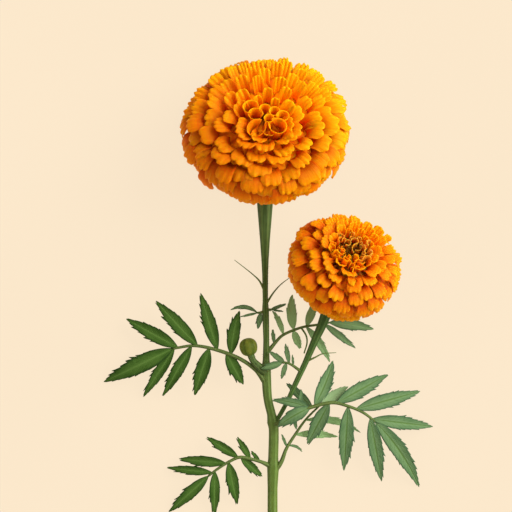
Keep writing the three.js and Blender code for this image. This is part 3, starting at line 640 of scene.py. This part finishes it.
def addPetal(store, head, axes, petal):
    rows, columns = petal["grid"]
    widest = math.pi / 2 * 0.86  # columns stand closer towards the edges, and rows towards the lip
    across = np.sin(np.linspace(-1, 1, columns) * widest) / math.sin(widest)
    down = np.linspace(0, 1, rows)[:, None] ** 0.85
    places, headings = petalLine(head, petal)
    run = np.concatenate([[0], np.cumsum(np.linalg.norm(np.diff(places, axis=0), axis=1))])
    lobes, back = lipOutline(head, petal, across)
    reach = down * run[-1] - petal["room"] * back * down ** 2
    share = np.clip(reach / run[-1], 0, 1)
    place = np.stack([np.interp(reach, run, places[:, k]) for k in (0, 1)], -1)
    heading = unit(np.stack([np.interp(reach, run, headings[:, k]) for k in (0, 1)], -1))
    face = np.stack([-heading[..., 1], heading[..., 0]], -1)
    side, rise = petalSection(head, petal, across, share, lobes)
    place = place + face * rise[..., None]
    spot, forward, out = petalStance(head, petal, axes)
    grid = np.array(head["centre"]) + spot + place[..., :1] * forward + place[..., 1:] * out
    grid = grid + side[..., None] * np.cross(out, forward)
    shown, tone = petalTone(head, petal, share)
    addSheet(store, grid, petalShape["thickness"], shown, across, tone)


def addCore(store, head, axes):
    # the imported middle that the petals' roots stand in, folded as they are
    profile, outward = [], []
    for share in np.linspace(0.02, 1, coreShape["rows"]):
        degrees = head["coreRim"] * share
        point, _, out, _ = tipSurface(head, degrees)
        sink = head["dimple"] * math.exp(-((point[0] / head["dimpleRadius"]) ** 2))
        profile.append(point - out * (readTable(head["coreDepth"], degrees) + sink))
        outward.append(out * min(1, 3 * share))
    profile.append(np.array([head["calyxRim"][0], head["calyxRim"][1] + 0.2]))
    outward.append(np.zeros(2))
    sides, last = coreShape["sides"], len(profile) - 1
    angle = anglesOf(sides)
    row = np.arange(last + 1)[:, None]
    wander = 1.6 * np.sin(3 * angle + row) + np.sin(7 * angle - 2 * row)
    folds = np.abs(np.sin(14 * angle + 2.1 * row + wander))
    height = coreShape["foldHeight"] * (folds[..., None] - 0.5)
    profile = np.array(profile)[:, None] + np.array(outward)[:, None] * height
    underEye = np.linspace(0, 1.05, last + 1) * head["coreRim"] < head["curlyAngle"] + 6
    tone = np.where(underEye, 1.7, 0.4)[:, None]
    # the folds' crests take the lip's colour and their valleys the throat's: partly the petals' own colours,
    # partly painted shade in the valleys
    shown = coreShape["foldDark"] + coreShape["foldLight"] * folds
    grid, start = addRings(store, head["centre"], axes, profile, shown, 0.0, tone, flip=False)
    for end in (0, last):
        middle = addPoints(store, grid[end].mean(0)[None], 0.1, 0.0, tone[end])
        addCap(store, middle, start + end * sides + np.arange(sides), flip=end > 0)


def makeBloom(name, head, material, node):
    store = newStore()
    axes = headAxes(head["axis"])
    addCore(store, head, axes)
    spots = petalSpots(head)
    for index, spot in enumerate(spots):
        addPetal(store, head, axes, growPetal(head, index, *spot))
    print(name, "has", len(spots), "petals")
    makePiece(name, store, [material], node)


makeBloom("bloomLarge", largeHead, petalGold, "bloom_large")
makeBloom("bloomSmall", smallHead, petalOrange, "bloom_small")

# Greens: skin of stems, calyxes and bud, which may change from the low end to the high one
greenFinishes = {
    "stemGreen": {
        "low": (0.092, 0.152, 0.018), "high": (0.016, 0.053, 0.012),
        "pale": (0.2, 0.31, 0.09, 1), "rough": 0.48},
    "sideGreen": {
        "low": (0.045, 0.11, 0.015), "high": (0.02, 0.065, 0.012),
        "pale": (0.15, 0.26, 0.08, 1), "rough": 0.48},
    "calyxGreen": {
        "low": (0.04, 0.085, 0.018), "high": (0.07, 0.13, 0.028),
        "pale": (0.2, 0.28, 0.09, 1), "rough": 0.45},
    "budGreen": {
        "low": (0.06, 0.115, 0.01), "high": (0.085, 0.115, 0.01),
        "pale": (0.22, 0.24, 0.03, 1), "rough": 0.42},
    "stalkGreen": {
        "low": (0.085, 0.135, 0.028), "high": (0.085, 0.14, 0.035),
        "pale": (0.22, 0.3, 0.1, 1), "rough": 0.5},
}


def greenMaterial(name):
    chosen = greenFinishes[name]
    material, tree, shader = newMaterial(name, chosen["rough"], shine=0.15, subsurface=0.06)
    blotch = useGroup(tree, softBlotches, {"Scale": 260.0, "Detail": 4.0})["Value"]
    fibres = fibreMask(tree, 5.0, 9.0)
    between = [(a + b) / 2 for a, b in zip(chosen["low"], chosen["high"])]
    stops = [(0.0, chosen["low"]), (0.55, between), (1.0, chosen["high"])]
    colour = rampNode(tree, readAttribute(tree, "along"), stops)
    ridges = spread(tree, readAttribute(tree, "across"), -0.4, 1.0)
    colour = partly(tree, ridges, 0.36, colour, chosen["pale"])
    dark = mixColour(tree, 1.0, colour, (0.62, 0.68, 0.6, 1), "MULTIPLY")
    colour = partly(tree, blotch, 0.5, colour, dark)
    colour = partly(tree, fibres, 0.25, colour, chosen["pale"])
    height = mathNode(tree, "ADD", fibres, mathNode(tree, "MULTIPLY", blotch, 0.6))
    finishSurface(tree, shader, colour, graded(tree, blotch, 0.15, chosen["rough"] - 0.05), height, 0.00012)
    return material


def pithMaterial():
    # the cut face of the stem: pale, uneven pith
    material, tree, shader = newMaterial("stemPith", 0.6, subsurface=0.1)
    blotch = useGroup(tree, softBlotches, {"Scale": 900.0, "Detail": 2.0})["Value"]
    colour = mixColour(tree, blotch, (0.42, 0.52, 0.24, 1), (0.62, 0.68, 0.42, 1))
    finishSurface(tree, shader, colour, graded(tree, blotch, 0.2, 0.5), blotch, 0.0001)
    return material


greens = {name: greenMaterial(name) for name in greenFinishes}
stemPith = pithMaterial()
print("green finishes made")

# Lines are rows of three coordinates and a thickness, and profiles rows of a radius and a height
calyxShape = {
    "rows": 22, "sides": 96, "ribs": 8, "ribDepth": 0.05, "ribRows": 6,  # the ribs rise over so many rows
    # up a tooth's outer side and down inside it: share of its reach, bend, and how far in
    "toothRows": [(0.35, 1.4, 0), (0.7, 1.4, 0), (1, 1, 0), (1, 1, 0.5), (0.3, 1, 0.5)],
}
calyxes = {
    "calyxLarge": {
        "node": "calyx_large", "head": largeHead, "toothReach": (3.0, 1.8),
        "profile": [[4.3, -26], [6.4, -23.4], [8.2, -19], [9.2, -14.4], [9.7, -10]]},
    "calyxSmall": {
        "node": "calyx_small", "head": smallHead, "toothReach": (2.4, 1.5),
        "profile": [[3.2, -20], [4.8, -17.6], [6.1, -13.8], [6.9, -10], [7.2, -6.6]]},
}
stemShape = {
    "steps": 150, "sides": 48, "ribs": 6, "ribDepth": 0.04, "hairLength": 0.9,
    "neckDrops": (4.4, -0.4),  # the neck's last two places, below the calyx's foot and just inside it
}
stems = {
    "stemMain": {
        "node": "main_stem", "finish": "stemGreen", "calyx": "calyxLarge", "hairs": 150, "seed": 11,
        "line": [
            [2.15, -118.5, 2.5, 4.9], [2.15, -98.5, 3.6, 4.8], [2.4, -87, 4.8, 5.9], [2.45, -83.5, 5.1, 4.9],
            [2.7, -68.5, 6.6, 4.8], [2.3, -65, 7, 5.6], [1.55, -61, 7.4, 4.3], [-0.2, -53.5, 8, 4.2],
            [-0.95, -43.5, 8.6, 4.6], [-1.1, -38, 8.8, 4.6], [-1.1, -33.5, 9, 3.3], [-1.05, -23.5, 9.2, 2.9],
            [-1.4, -9.5, 9.2, 3.4], [-1.5, -3.5, 9.2, 2.6], [-1.6, 9, 9, 2.9], [-1.65, 16.5, 8.9, 3.5],
            [-1.7, 26.5, 8.6, 4.8], [-1.7, 36.5, 8.4, 6.4], [-1.7, 44, 8.3, 7.6], [-1.6, 51, 8.2, 8.2],
            [-1.5, 57.5, 8.5, 8.4]],
    },
    "stemSide": {
        "node": "side_stem", "finish": "sideGreen", "calyx": "calyxSmall", "hairs": 70, "seed": 47,
        "line": [
            [2.6, -66.4, 7.4, 2.3], [4.3, -64, 8, 2.1], [9.15, -55.25, 9.5, 2.1], [14.05, -44.7, 10.8, 2.6],
            [18.95, -34.2, 11.8, 2.9], [23.15, -24.35, 12.1, 3.7], [26.65, -16.65, 11.4, 4.5],
            [29.3, -9.5, 10.6, 5.4], [31, -4, 10.2, 6.1]],
    },
}
bud = {
    "centre": (-10, -27, 13.6), "radius": 4.5, "axis": (-0.23, 0.97, 0.05),
    "sepals": 6, "rows": 40, "sides": 96,
    "profile": [[0.3, -1.02], [0.5, -0.93], [0.72, -0.8], [0.9, -0.55], [0.99, -0.25], [1.02, 0], [1, 0.25],
                [0.92, 0.48], [0.8, 0.66], [0.6, 0.82], [0.45, 0.9], [0.2, 0.97], [0.04, 0.9]],
    "stalk": [[-1.6, -39.4, 10.2, 4.6], [-5, -36.6, 12.6, 3.6], [-7.6, -34, 13.3, 3.2],
              [-9, -30.5, 13.5, 3.6], [-9.4, -29.5, 13.55, 3.6]],
    "hairs": 14, "hairLength": 0.7, "seed": 71,
}


def makeStem(name, stem):
    store, shape = newStore(), stemShape
    calyx = calyxes[stem["calyx"]]
    footRadius, footHeight = calyx["profile"][0]
    w = headAxes(calyx["head"]["axis"])[2]
    foot = np.array(calyx["head"]["centre"]) + w * footHeight
    neck = [[*(foot - w * drop), 2 * footRadius] for drop in shape["neckDrops"]]
    centres, radii = curveThrough(stem["line"] + neck, shape["steps"])
    addTube(store, centres, radii, shape["sides"], 0.5, 0, shape["ribs"], shape["ribDepth"], capFinish=1)
    addHairs(store, centres, radii, stem["hairs"], shape["hairLength"], stem["seed"])
    makePiece(name, store, [greens[stem["finish"]], stemPith], stem["node"])


def makeCalyx(name, calyx):
    # a ribbed cup whose rim runs out into pointed teeth under the petals
    store, shape = newStore(), calyxShape
    ridge = np.cos(shape["ribs"] * anglesOf(shape["sides"]))
    radii, heights = np.array(calyx["profile"], float).T
    fine = np.linspace(heights[0], heights[-1], shape["rows"])
    radii = np.interp(fine, heights, radii)
    radii = np.convolve(np.pad(radii, 2, mode="edge"), np.ones(5) / 5, mode="valid")  # softens the bends
    ribs = shape["ribDepth"] * ridge * np.minimum(1, np.arange(shape["rows"]) / shape["ribRows"])[:, None]
    outward, upwards = (list(part) for part in np.broadcast_arrays(radii[:, None] * (1 + ribs), fine[:, None]))
    rimRadius, rimHeight = outward[-1], upwards[-1]
    tooth = (0.5 + 0.5 * ridge) ** 1.5
    out, up = calyx["toothReach"]
    for share, bend, inward in shape["toothRows"]:
        outward.append(rimRadius + out * tooth * share - inward)
        upwards.append(rimHeight + up * tooth * share ** bend + inward / 2)
    along = np.minimum(np.arange(len(outward)) / (shape["rows"] + 2), 1)[:, None]
    head, profile = calyx["head"], np.stack([outward, upwards], -1)
    addRings(store, head["centre"], headAxes(head["axis"]), profile, along, ridge, 0.3)
    makePiece(name, store, [greens["calyxGreen"]], calyx["node"])


def makeBud():
    store, rows = newStore(), bud["rows"]
    ridge = np.abs(np.sin(bud["sepals"] * anglesOf(bud["sides"]) / 2))
    order = np.arange(len(bud["profile"]))
    stops = np.linspace(0, order[-1], rows)
    radii, heights = (np.interp(stops, order, column)[:, None] for column in zip(*bud["profile"]))
    radii = radii * (0.95 + 0.07 * ridge ** 0.6)  # each sepal bulges a little
    profile = bud["radius"] * np.stack(np.broadcast_arrays(radii, heights), -1)
    along = np.linspace(0, 1, rows)[:, None]
    addRings(store, bud["centre"], headAxes(bud["axis"]), profile, along, ridge * 2 - 1, 0.7)
    centres, radii = curveThrough(bud["stalk"], 24)
    addTube(store, centres, radii, 24, tone=0.4, finish=1, ribs=6, ribDepth=0.04)
    addHairs(store, centres, radii, bud["hairs"], bud["hairLength"], bud["seed"])
    makePiece("budHead", store, [greens["budGreen"], greens["calyxGreen"]], "bud")


for name, stem in stems.items():
    makeStem(name, stem)
for name, calyx in calyxes.items():
    makeCalyx(name, calyx)
makeBud()

# Leaf blades: the left leaves are a deep green with a pale midrib, the right ones paler with a darker line
bladeFinishes = {
    "bladeDeep": {
        "base": (0.032, 0.08, 0.012, 1), "light": (0.075, 0.16, 0.03, 1), "rib": (0.13, 0.24, 0.06, 1),
        "edge": (0.01, 0.03, 0.008, 1), "under": (0.10, 0.17, 0.05, 1),
        "paleAndPaintedLight": (0.12, 0.28, 0.06, 1), "ribShare": 0.4},
    "bladeSoft": {
        "base": (0.085, 0.17, 0.072, 1), "light": (0.16, 0.27, 0.125, 1), "rib": (0.055, 0.125, 0.01, 1),
        "edge": (0.04, 0.09, 0.05, 1), "under": (0.18, 0.28, 0.13, 1),
        "paleAndPaintedLight": (0.25, 0.37, 0.19, 1), "ribShare": 0.65},
    # the middle leaves' own paler green, made lighter still as painted light, since they lie in the blooms'
    # shadow
    "bladeMid": {
        "base": (0.094, 0.175, 0.07, 1), "light": (0.165, 0.28, 0.13, 1), "rib": (0.15, 0.26, 0.08, 1),
        "edge": (0.04, 0.085, 0.04, 1), "under": (0.13, 0.21, 0.09, 1),
        "paleAndPaintedLight": (0.34, 0.56, 0.24, 1), "ribShare": 0.4},
}


def bladeMaterial(name):
    chosen = bladeFinishes[name]
    material, tree, shader = newMaterial(name, 0.5, shine=0.03)
    along, across, tone, under = (readAttribute(tree, key) for key in ("along", "across", "tone", "under"))
    veins = useGroup(tree, leafVeins, {"Along": along, "Across": across, "Count": 10.0, "Slant": 0.17})
    blotch = useGroup(tree, softBlotches, {"Scale": 150.0, "Detail": 4.0})["Value"]
    fibres = fibreMask(tree, 7.0, 5.0)
    beside = spread(tree, mathNode(tree, "ABSOLUTE", across), 0.05, 0.5, 1.0, 0.0)
    # a leaflet marked with a tone above 1 turns a paler green: painted light on leaflets in the blooms'
    # shadow, and on one right leaflet the paler green of a leaf's underside
    paleAndPaintedLight = spread(tree, tone, 1.0, 1.5)
    layers = [
        (blotch, 0.55, "light"), (beside, 0.75, "light"), (fibres, 0.2, "light"),
        (veins["Veins"], 0.12, "rib"), (veins["Edge"], 0.75, "edge"),
        (veins["Midrib"], chosen["ribShare"], "rib"), (paleAndPaintedLight, 0.7, "paleAndPaintedLight"), (under, 0.8, "under"),
    ]
    colour = chosen["base"]
    for mask, share, key in layers:
        colour = partly(tree, mask, share, colour, chosen[key])
    lines = mathNode(tree, "MAXIMUM", veins["Midrib"], mathNode(tree, "MULTIPLY", veins["Veins"], 0.6))
    height = mathNode(tree, "SUBTRACT", mathNode(tree, "MULTIPLY", fibres, 0.3), lines)
    finishSurface(tree, shader, colour, graded(tree, blotch, 0.16, 0.42), height, 0.00022)
    return material


blades = {name: bladeMaterial(name) for name in bladeFinishes}
print("leaf finishes made")

leafShape = {
    "rows": 90, "columns": [-1, -0.82, -0.55, -0.28, -0.1, 0, 0.1, 0.28, 0.55, 0.82, 1], "thickness": 0.34,
    "toothPitch": 3.3, "toothReach": 0.26, "toothSlant": 0.45, "fold": 0.2, "pillow": 0.1, "edgeWave": 0.25,
    "midribWidth": 0.1, "midribSwell": 1.6,
    "rachisSteps": 70, "rachisSides": 16, "rachisRibs": 4, "ribDepth": 0.06, "hairs": 10, "hairLength": 0.5,
}
leaves = {
    "leafLeftUpper": {
        "node": "leaf_left_upper", "finish": "bladeDeep",
        "rachis": [[-1.6, -44.4, 8.8, 3.4], [-6, -39, 10.4, 2.1], [-13.5, -33.5, 12.4, 1.9],
                   [-24.5, -29, 13.6, 1.8], [-37, -26.5, 12.4, 1.5], [-48, -28, 9.6, 1.2]],
        "leaflets": [  # where it leaves the rachis, its tip, its width, and its sideways bend and arch if any
            [-48, -28, -83, -45, 0.4, 9.3, 0, 3], [-45.5, -27.3, -71.5, -13, 4, 7.4, 0, 1],
            [-35.5, -26.5, -56.5, -4, 8, 7.5, 0, 1], [-25.5, -28.6, -34, 0, 11, 7, 0, 1],
            [-19, -31, -14.5, -9, 8.4, 6.6, 0.6, -0.6], [-47, -28, -63, -52.5, 3, 5.7, 0, 1],
            [-38.5, -26.7, -53, -52, 4, 6.4, 0, 1], [-29.5, -27.6, -37, -51.5, 6, 7.4, 0, 1],
            [-21, -30.3, -12.5, -46, 8, 6.7]],
    },
    "leafRightUpper": {
        "node": "leaf_right_upper", "finish": "bladeMid",
        "rachis": [[0, -29.2, 8.6, 2.2], [4, -24.5, 6.8, 1.5], [7, -21.5, 6, 1.4], [13.5, -18.5, 5.4, 1.3],
                   [18.5, -17, 5.2, 1.2], [25.5, -16, 4.8, 1.2], [30.5, -15, 4.5, 1.1]],
        "leaflets": [
            [30.5, -15, 53, -18.5, 2.4, 6, 0.8, 0], [28, -15.6, 44, -28, 2.2, 3.7],
            [7.5, -21.2, 2, -9, 6, 2.9, -0.8, 0], [13, -18.7, 12, -1, 6, 5.2, 0.8, 0],
            [19, -16.9, 24, -4, 4.4, 4.5], [3, -25.7, 2, -18.5, 6, 2],
            [19, -17, 31, -35, 3, 4.2, 1, 0], [12.5, -19, 16, -28, 3.6, 3.9]],
        # these leaflets lie in the small bloom's shadow and get painted light
        "paleAndPaintedLight": [2, 3, 4, 5, 6, 7],
        "threads": [[
            [16.5, -17.5, 5.2, 1], [19, -21.5, 4.6, 0.9], [19.5, -25, 4.2, 0.8], [18, -30.5, 3.6, 0.7]]],
    },
    "leafSmallMiddle": {
        "node": "leaf_small_middle", "finish": "bladeMid",
        "rachis": [[16.6, -39.6, 11.6, 1.6], [11.5, -36, 12.8, 1.2], [9, -35, 13, 1.1], [7, -35, 13, 1]],
        "leaflets": [
            [8.3, -35, 0.5, -29.5, 12.8, 3], [7, -35, -3.5, -38, 14.6, 3.8],
            [9, -35.2, 6.5, -43, 12, 2.7], [10.5, -35.5, 8.5, -25.5, 12.6, 2.5],
            [12.5, -36.6, 12, -31, 13.4, 1.2]],
    },
    "leafRightLower": {
        "node": "leaf_right_lower", "finish": "bladeSoft",
        "rachis": [[2.9, -66, 7.9, 2.6], [5, -65.2, 10, 2.1], [11, -62, 12.6, 1.7], [17, -59, 14, 1.7],
                   [22.5, -57, 14.4, 1.8], [32.5, -55, 14, 1.7], [40.5, -57, 13, 1.5], [47.5, -60, 11.8, 1.4],
                   [53.5, -64.5, 10.4, 1.2]],
        "leaflets": [
            [23, -56.8, 32.5, -34, 8, 7, -0.8, 0], [34, -55, 60, -41, 7, 7.7, 0, 1],
            [44, -58.3, 76.5, -49.5, 3.6, 7.7, 0, 1.5], [52, -63.2, 83, -67.5, 0.4, 7, 0, 2],
            [53.5, -64.5, 76, -98, 0.4, 8, 2, 3], [51, -62.6, 57, -95, 2.4, 7.4, 0, 2],
            [40, -56.8, 38, -89.5, 4.5, 7.7, 0, 1], [30.5, -55.2, 19.5, -76, 8, 7.4],
            [26, -56, 40, -47, 10.4, 5.6, 0, -1], [20.5, -57.6, 2, -54, 12.2, 4.6, -1, 0.8],
            [21, -57.5, 4.6, -67, 13.4, 7, -0.6, 1.6], [12.5, -61.4, 14, -68.5, 11, 2.2],
            [22, -57, 9, -45.5, 5.6, 4.4, 0, -2.4], [16, -59.5, 16.5, -48.5, 11.6, 2.5]],
        # this leaflet takes the paler green of a leaf's underside
        "paleAndPaintedLight": [8],
    },
    "shootRightLow": {
        "node": "shoot_right_low", "finish": "bladeMid",
        "rachis": [[3.2, -89.5, 4.6, 3], [6.5, -85, 6, 2.1], [9, -78.5, 6.4, 1.6], [13, -72, 6.4, 1.4],
                   [19, -63.5, 6.6, 1.1], [25.5, -57, 6.6, 0.9]],
        "leaflets": [
            [9.4, -77.5, 6.6, -71, 8.6, 1.4], [9.8, -76.8, 17, -80, 5.6, 1.4, 1.2, 0],
            [13.6, -71.2, 35, -72.5, 3.4, 4, 0.8, 0], [18.6, -64, 46.5, -70.5, 2.8, 3.8, 3, 0]],
        # these leaflets lie in shadow and get painted light
        "paleAndPaintedLight": [2, 3],
    },
    "leafLeftLower": {
        "node": "leaf_left_lower", "finish": "bladeDeep",
        "rachis": [[1.6, -87.4, 5, 2.8], [-3.5, -85, 7.6, 1.7], [-9, -83.4, 8.9, 1.6], [-14.5, -82.6, 9, 1.6],
                   [-20, -85, 8.5, 1.4], [-25.5, -88.5, 7.5, 1.3], [-30, -92, 6.4, 1.1]],
        "leaflets": [
            [-21, -85.6, -45, -83.5, 3, 5.5, 0, 1], [-28, -90.5, -51, -88, 2, 4.6, 0, 1],
            [-15, -82.7, -31, -72.5, 5, 4.8, 0, 0.5], [-9, -83.4, -15.5, -72.5, 7, 3.6],
            [-4.4, -84.7, -8.5, -79.5, 8, 2], [-14, -82.7, -3, -92.4, 4.8, 4.6],
            [-20, -85, -15.5, -106.5, 2, 6.3, 0, 1], [-27, -89.6, -27, -112, 1.4, 5.5, 0, 1],
            [-30, -92, -50, -110.5, 0.6, 6.3, 0, 1]],
    },
    "leafSmallLeft": {
        "node": "leaf_small_left", "finish": "bladeMid",
        "rachis": [[-1.9, -9.4, 9.6, 1.6], [-4, -9.9, 11, 1.2], [-5.6, -10, 11.2, 1]],
        "leaflets": [
            [-5.5, -10, -19, -8.5, 10, 2.2, -2.2, 0], [-5.2, -10, -14, -12, 12.2, 1.3],
            [-3.8, -9.9, -5.2, -18, 10.4, 3.2]],
    },
    "leafSmallRight": {
        "node": "leaf_small_right", "finish": "bladeMid",
        "rachis": [[-0.8, -8.6, 9.6, 1.6], [1.6, -8.4, 10.8, 1.1]],
        "leaflets": [[0.9, -8.4, 9, -5.5, 11.2, 1.8], [1.5, -8.4, 7.5, -9.4, 10.4, 1]],
    },
}
threadShape = {"steps": 40, "sides": 12, "tone": 0.6, "tipShare": 0.45, "hairs": 6, "hairLength": 0.5}
threads = {
    "threadLeft": {"node": "thread_left", "line": [
        [-1.9, 1, 9.2, 1.4], [-4.5, 6, 10.4, 1.1], [-7.5, 9, 11, 0.9], [-17, 16.5, 10.6, 0.7]]},
    "threadRight": {"node": "thread_right", "line": [
        [-1, -5.4, 9.4, 1.3], [2.5, 0, 10.6, 1], [6, 4, 11, 0.9], [10.5, 7.5, 11, 0.7]]},
    "threadSide": {"node": "thread_side", "line": [
        [18.7, -34.6, 11.9, 1.3], [23.5, -32.3, 12.9, 1], [27, -30.6, 12.4, 0.9], [34, -30, 11, 0.7]]},
}


def addLeaflet(store, line, leaflet, seed, paleAndPaintedLight):
    shape = leafShape
    baseX, baseY, tipX, tipY, tipZ, width, bend, arch = (leaflet + [0, 0])[:8]
    root = line[np.argmin(np.hypot(line[:, 0] - baseX, line[:, 1] - baseY))]
    chord = np.array([tipX, tipY, tipZ]) - root
    bow = unit(np.array([-chord[1], chord[0], 0.0])) * bend + upward * arch

    def lay(share):
        return root + chord * share + bow * (4 * share * (1 - share))

    share = np.linspace(0, 1, shape["rows"])[:, None]
    columns = np.array(shape["columns"], float)[None, :]
    away, half = np.abs(columns), np.sign(columns)
    outline = np.maximum(np.sin(math.pi * share ** 0.84), 0) ** 0.92
    outline = np.maximum(outline, 0.15 * (1 - share) ** 2)

    # forward teeth of uneven size, larger where they face outwards, none by the base and the tip
    teeth = max(3, round(np.linalg.norm(chord) / shape["toothPitch"]))
    phase = np.where(columns > 0, 0.0, 0.45) + wave(seed)
    wander = 0.2 * np.sin(share * 13 + seed * 3.7 + 2 * half)
    saw = np.mod(share * teeth + phase + wander, 1.0)
    saw = saw * (0.7 + 0.3 * np.sin(share * 21 + seed * 1.9 + 4 * half))
    saw = saw * (1 + (-0.4 if tipX < 0 else 0.2) * np.sign(columns * chord[1]))
    toothed = np.clip((share - 0.25) / 0.2, 0, 1) * np.clip((1 - share) / 0.05, 0, 1) * away ** 4
    reach = columns * outline * width / 2 * (1 + shape["toothReach"] * (saw ** 1.3 - 0.35) * toothed)
    along = np.clip(share + shape["toothSlant"] / teeth * saw * toothed, 0, 1)

    # folded along the midrib, swollen between the side veins and wavy at the edge
    heading = unit(np.gradient(lay(share), axis=0))
    side = unit(np.stack([heading[:, 1], -heading[:, 0], np.zeros(len(heading))], -1))
    normal = np.cross(side, heading)
    slant = np.mod((share - 0.17 * away) * teeth, 1.0)
    pillow = shape["pillow"] * np.sin(math.pi * slant) * away * (1 - away) * 4
    ripple = shape["edgeWave"] * np.sin(share * 9 + seed * 2.1 + columns * 2) * away ** 2 * outline
    rise = shape["fold"] * outline * width / 2 * away ** 1.2 + pillow + ripple * width / 8
    grid = lay(along[..., None]) + side[:, None] * reach[..., None] + normal[:, None] * rise[..., None]
    midrib = shape["midribSwell"] * np.exp(-((columns / shape["midribWidth"]) ** 2)) * (1 - share)
    thickness = shape["thickness"] * np.clip(outline * 3, 0.25, 1) * (1 + midrib)
    addSheet(store, grid, thickness, share, columns, wave(seed + 9) * 0.99 + paleAndPaintedLight)


def makeLeaf(name, leaf, seed):
    store, shape = newStore(), leafShape
    centres, radii = curveThrough(leaf["rachis"], shape["rachisSteps"])
    addTube(store, centres, radii, shape["rachisSides"], 0.6, 1, shape["rachisRibs"], shape["ribDepth"])
    addHairs(store, centres, radii, shape["hairs"], shape["hairLength"], seed * 3 + 5, 1)
    for strand in leaf.get("threads", []):
        addTube(store, *curveThrough(strand, 20), 10, 0.6, 1)
    line, _ = curveThrough(leaf["rachis"], 120)
    for k, leaflet in enumerate(leaf["leaflets"]):
        addLeaflet(store, line, leaflet, seed + k * 1.3, int(k in leaf.get("paleAndPaintedLight", [])))
    makePiece(name, store, [blades[leaf["finish"]], greens["stalkGreen"]], leaf["node"])


def makeThread(name, thread, seed):
    store, shape = newStore(), threadShape
    centres, radii = curveThrough(thread["line"], shape["steps"])
    radii = radii * np.linspace(1, shape["tipShare"], len(radii))
    addTube(store, centres, radii, shape["sides"], shape["tone"])
    addHairs(store, centres, radii, shape["hairs"], shape["hairLength"], seed)
    makePiece(name, store, [greens["stalkGreen"]], thread["node"])


for order, (name, leaf) in enumerate(leaves.items()):
    makeLeaf(name, leaf, 10 * order + 3)
for order, (name, thread) in enumerate(threads.items()):
    makeThread(name, thread, 80 + order)

# Studio: pale cream table, one broad soft light from the upper right, an even sky, camera straight above
studio = {
    "tableHalf": 3, "tableColour": (0.05, 0.0418, 0.0313, 1), "tablePatch": (0.065, 0.054, 0.04, 1),
    "tableGlow": 17.95, "skyColour": (1.0, 0.86, 0.71, 1), "skyStrength": 0.66,
    "keyStrength": 4.15, "keyAngle": 50, "keyFrom": (1.15, 0.55, 0.85), "keyColour": (1.0, 0.99, 0.92),
    "cameraPlace": (-0.0062, 0.0185, 2.509), "lens": 350,
}


def makeTable(scene):
    half = studio["tableHalf"]
    corners = [(-half, -half, 0), (half, -half, 0), (half, half, 0), (-half, half, 0)]
    mesh = bpy.data.meshes.new("table")
    mesh.from_pydata(corners, [], [(0, 1, 2, 3)])
    table = bpy.data.objects.new("table", mesh)
    scene.collection.objects.link(table)
    material, tree, shader = newMaterial("tableCream", 0.9, shine=0.0)
    blotch = useGroup(tree, softBlotches, {"Scale": 6.0, "Detail": 2.0})["Value"]
    colour = partly(tree, blotch, 0.04, studio["tableColour"], studio["tablePatch"])
    tree.links.new(colour, shader.inputs["Base Color"])
    tree.links.new(colour, shader.inputs["Emission Color"])
    shader.inputs["Emission Strength"].default_value = studio["tableGlow"]
    mesh.materials.append(material)


def makeStudio():
    scene = bpy.context.scene
    makeTable(scene)
    world = bpy.data.worlds.new("sky")
    world.use_nodes = True
    sky = world.node_tree.nodes["Background"]
    sky.inputs["Color"].default_value = studio["skyColour"]
    sky.inputs["Strength"].default_value = studio["skyStrength"]
    scene.world = world
    lamp = bpy.data.lights.new("keyLight", "SUN")
    lamp.energy = studio["keyStrength"]
    lamp.angle = math.radians(studio["keyAngle"])
    lamp.color = studio["keyColour"]
    key = bpy.data.objects.new("keyLight", lamp)
    key.rotation_mode = "QUATERNION"
    key.rotation_quaternion = Vector(studio["keyFrom"]).to_track_quat("Z", "Y")
    scene.collection.objects.link(key)
    camera = bpy.data.objects.new("camera", bpy.data.cameras.new("camera"))
    camera.data.lens = studio["lens"]
    camera.data.clip_start, camera.data.clip_end = 0.1, 20
    camera.location = studio["cameraPlace"]
    scene.collection.objects.link(camera)
    scene.camera = camera
    scene.view_settings.view_transform = "Standard"


makeStudio()
print("studio made")
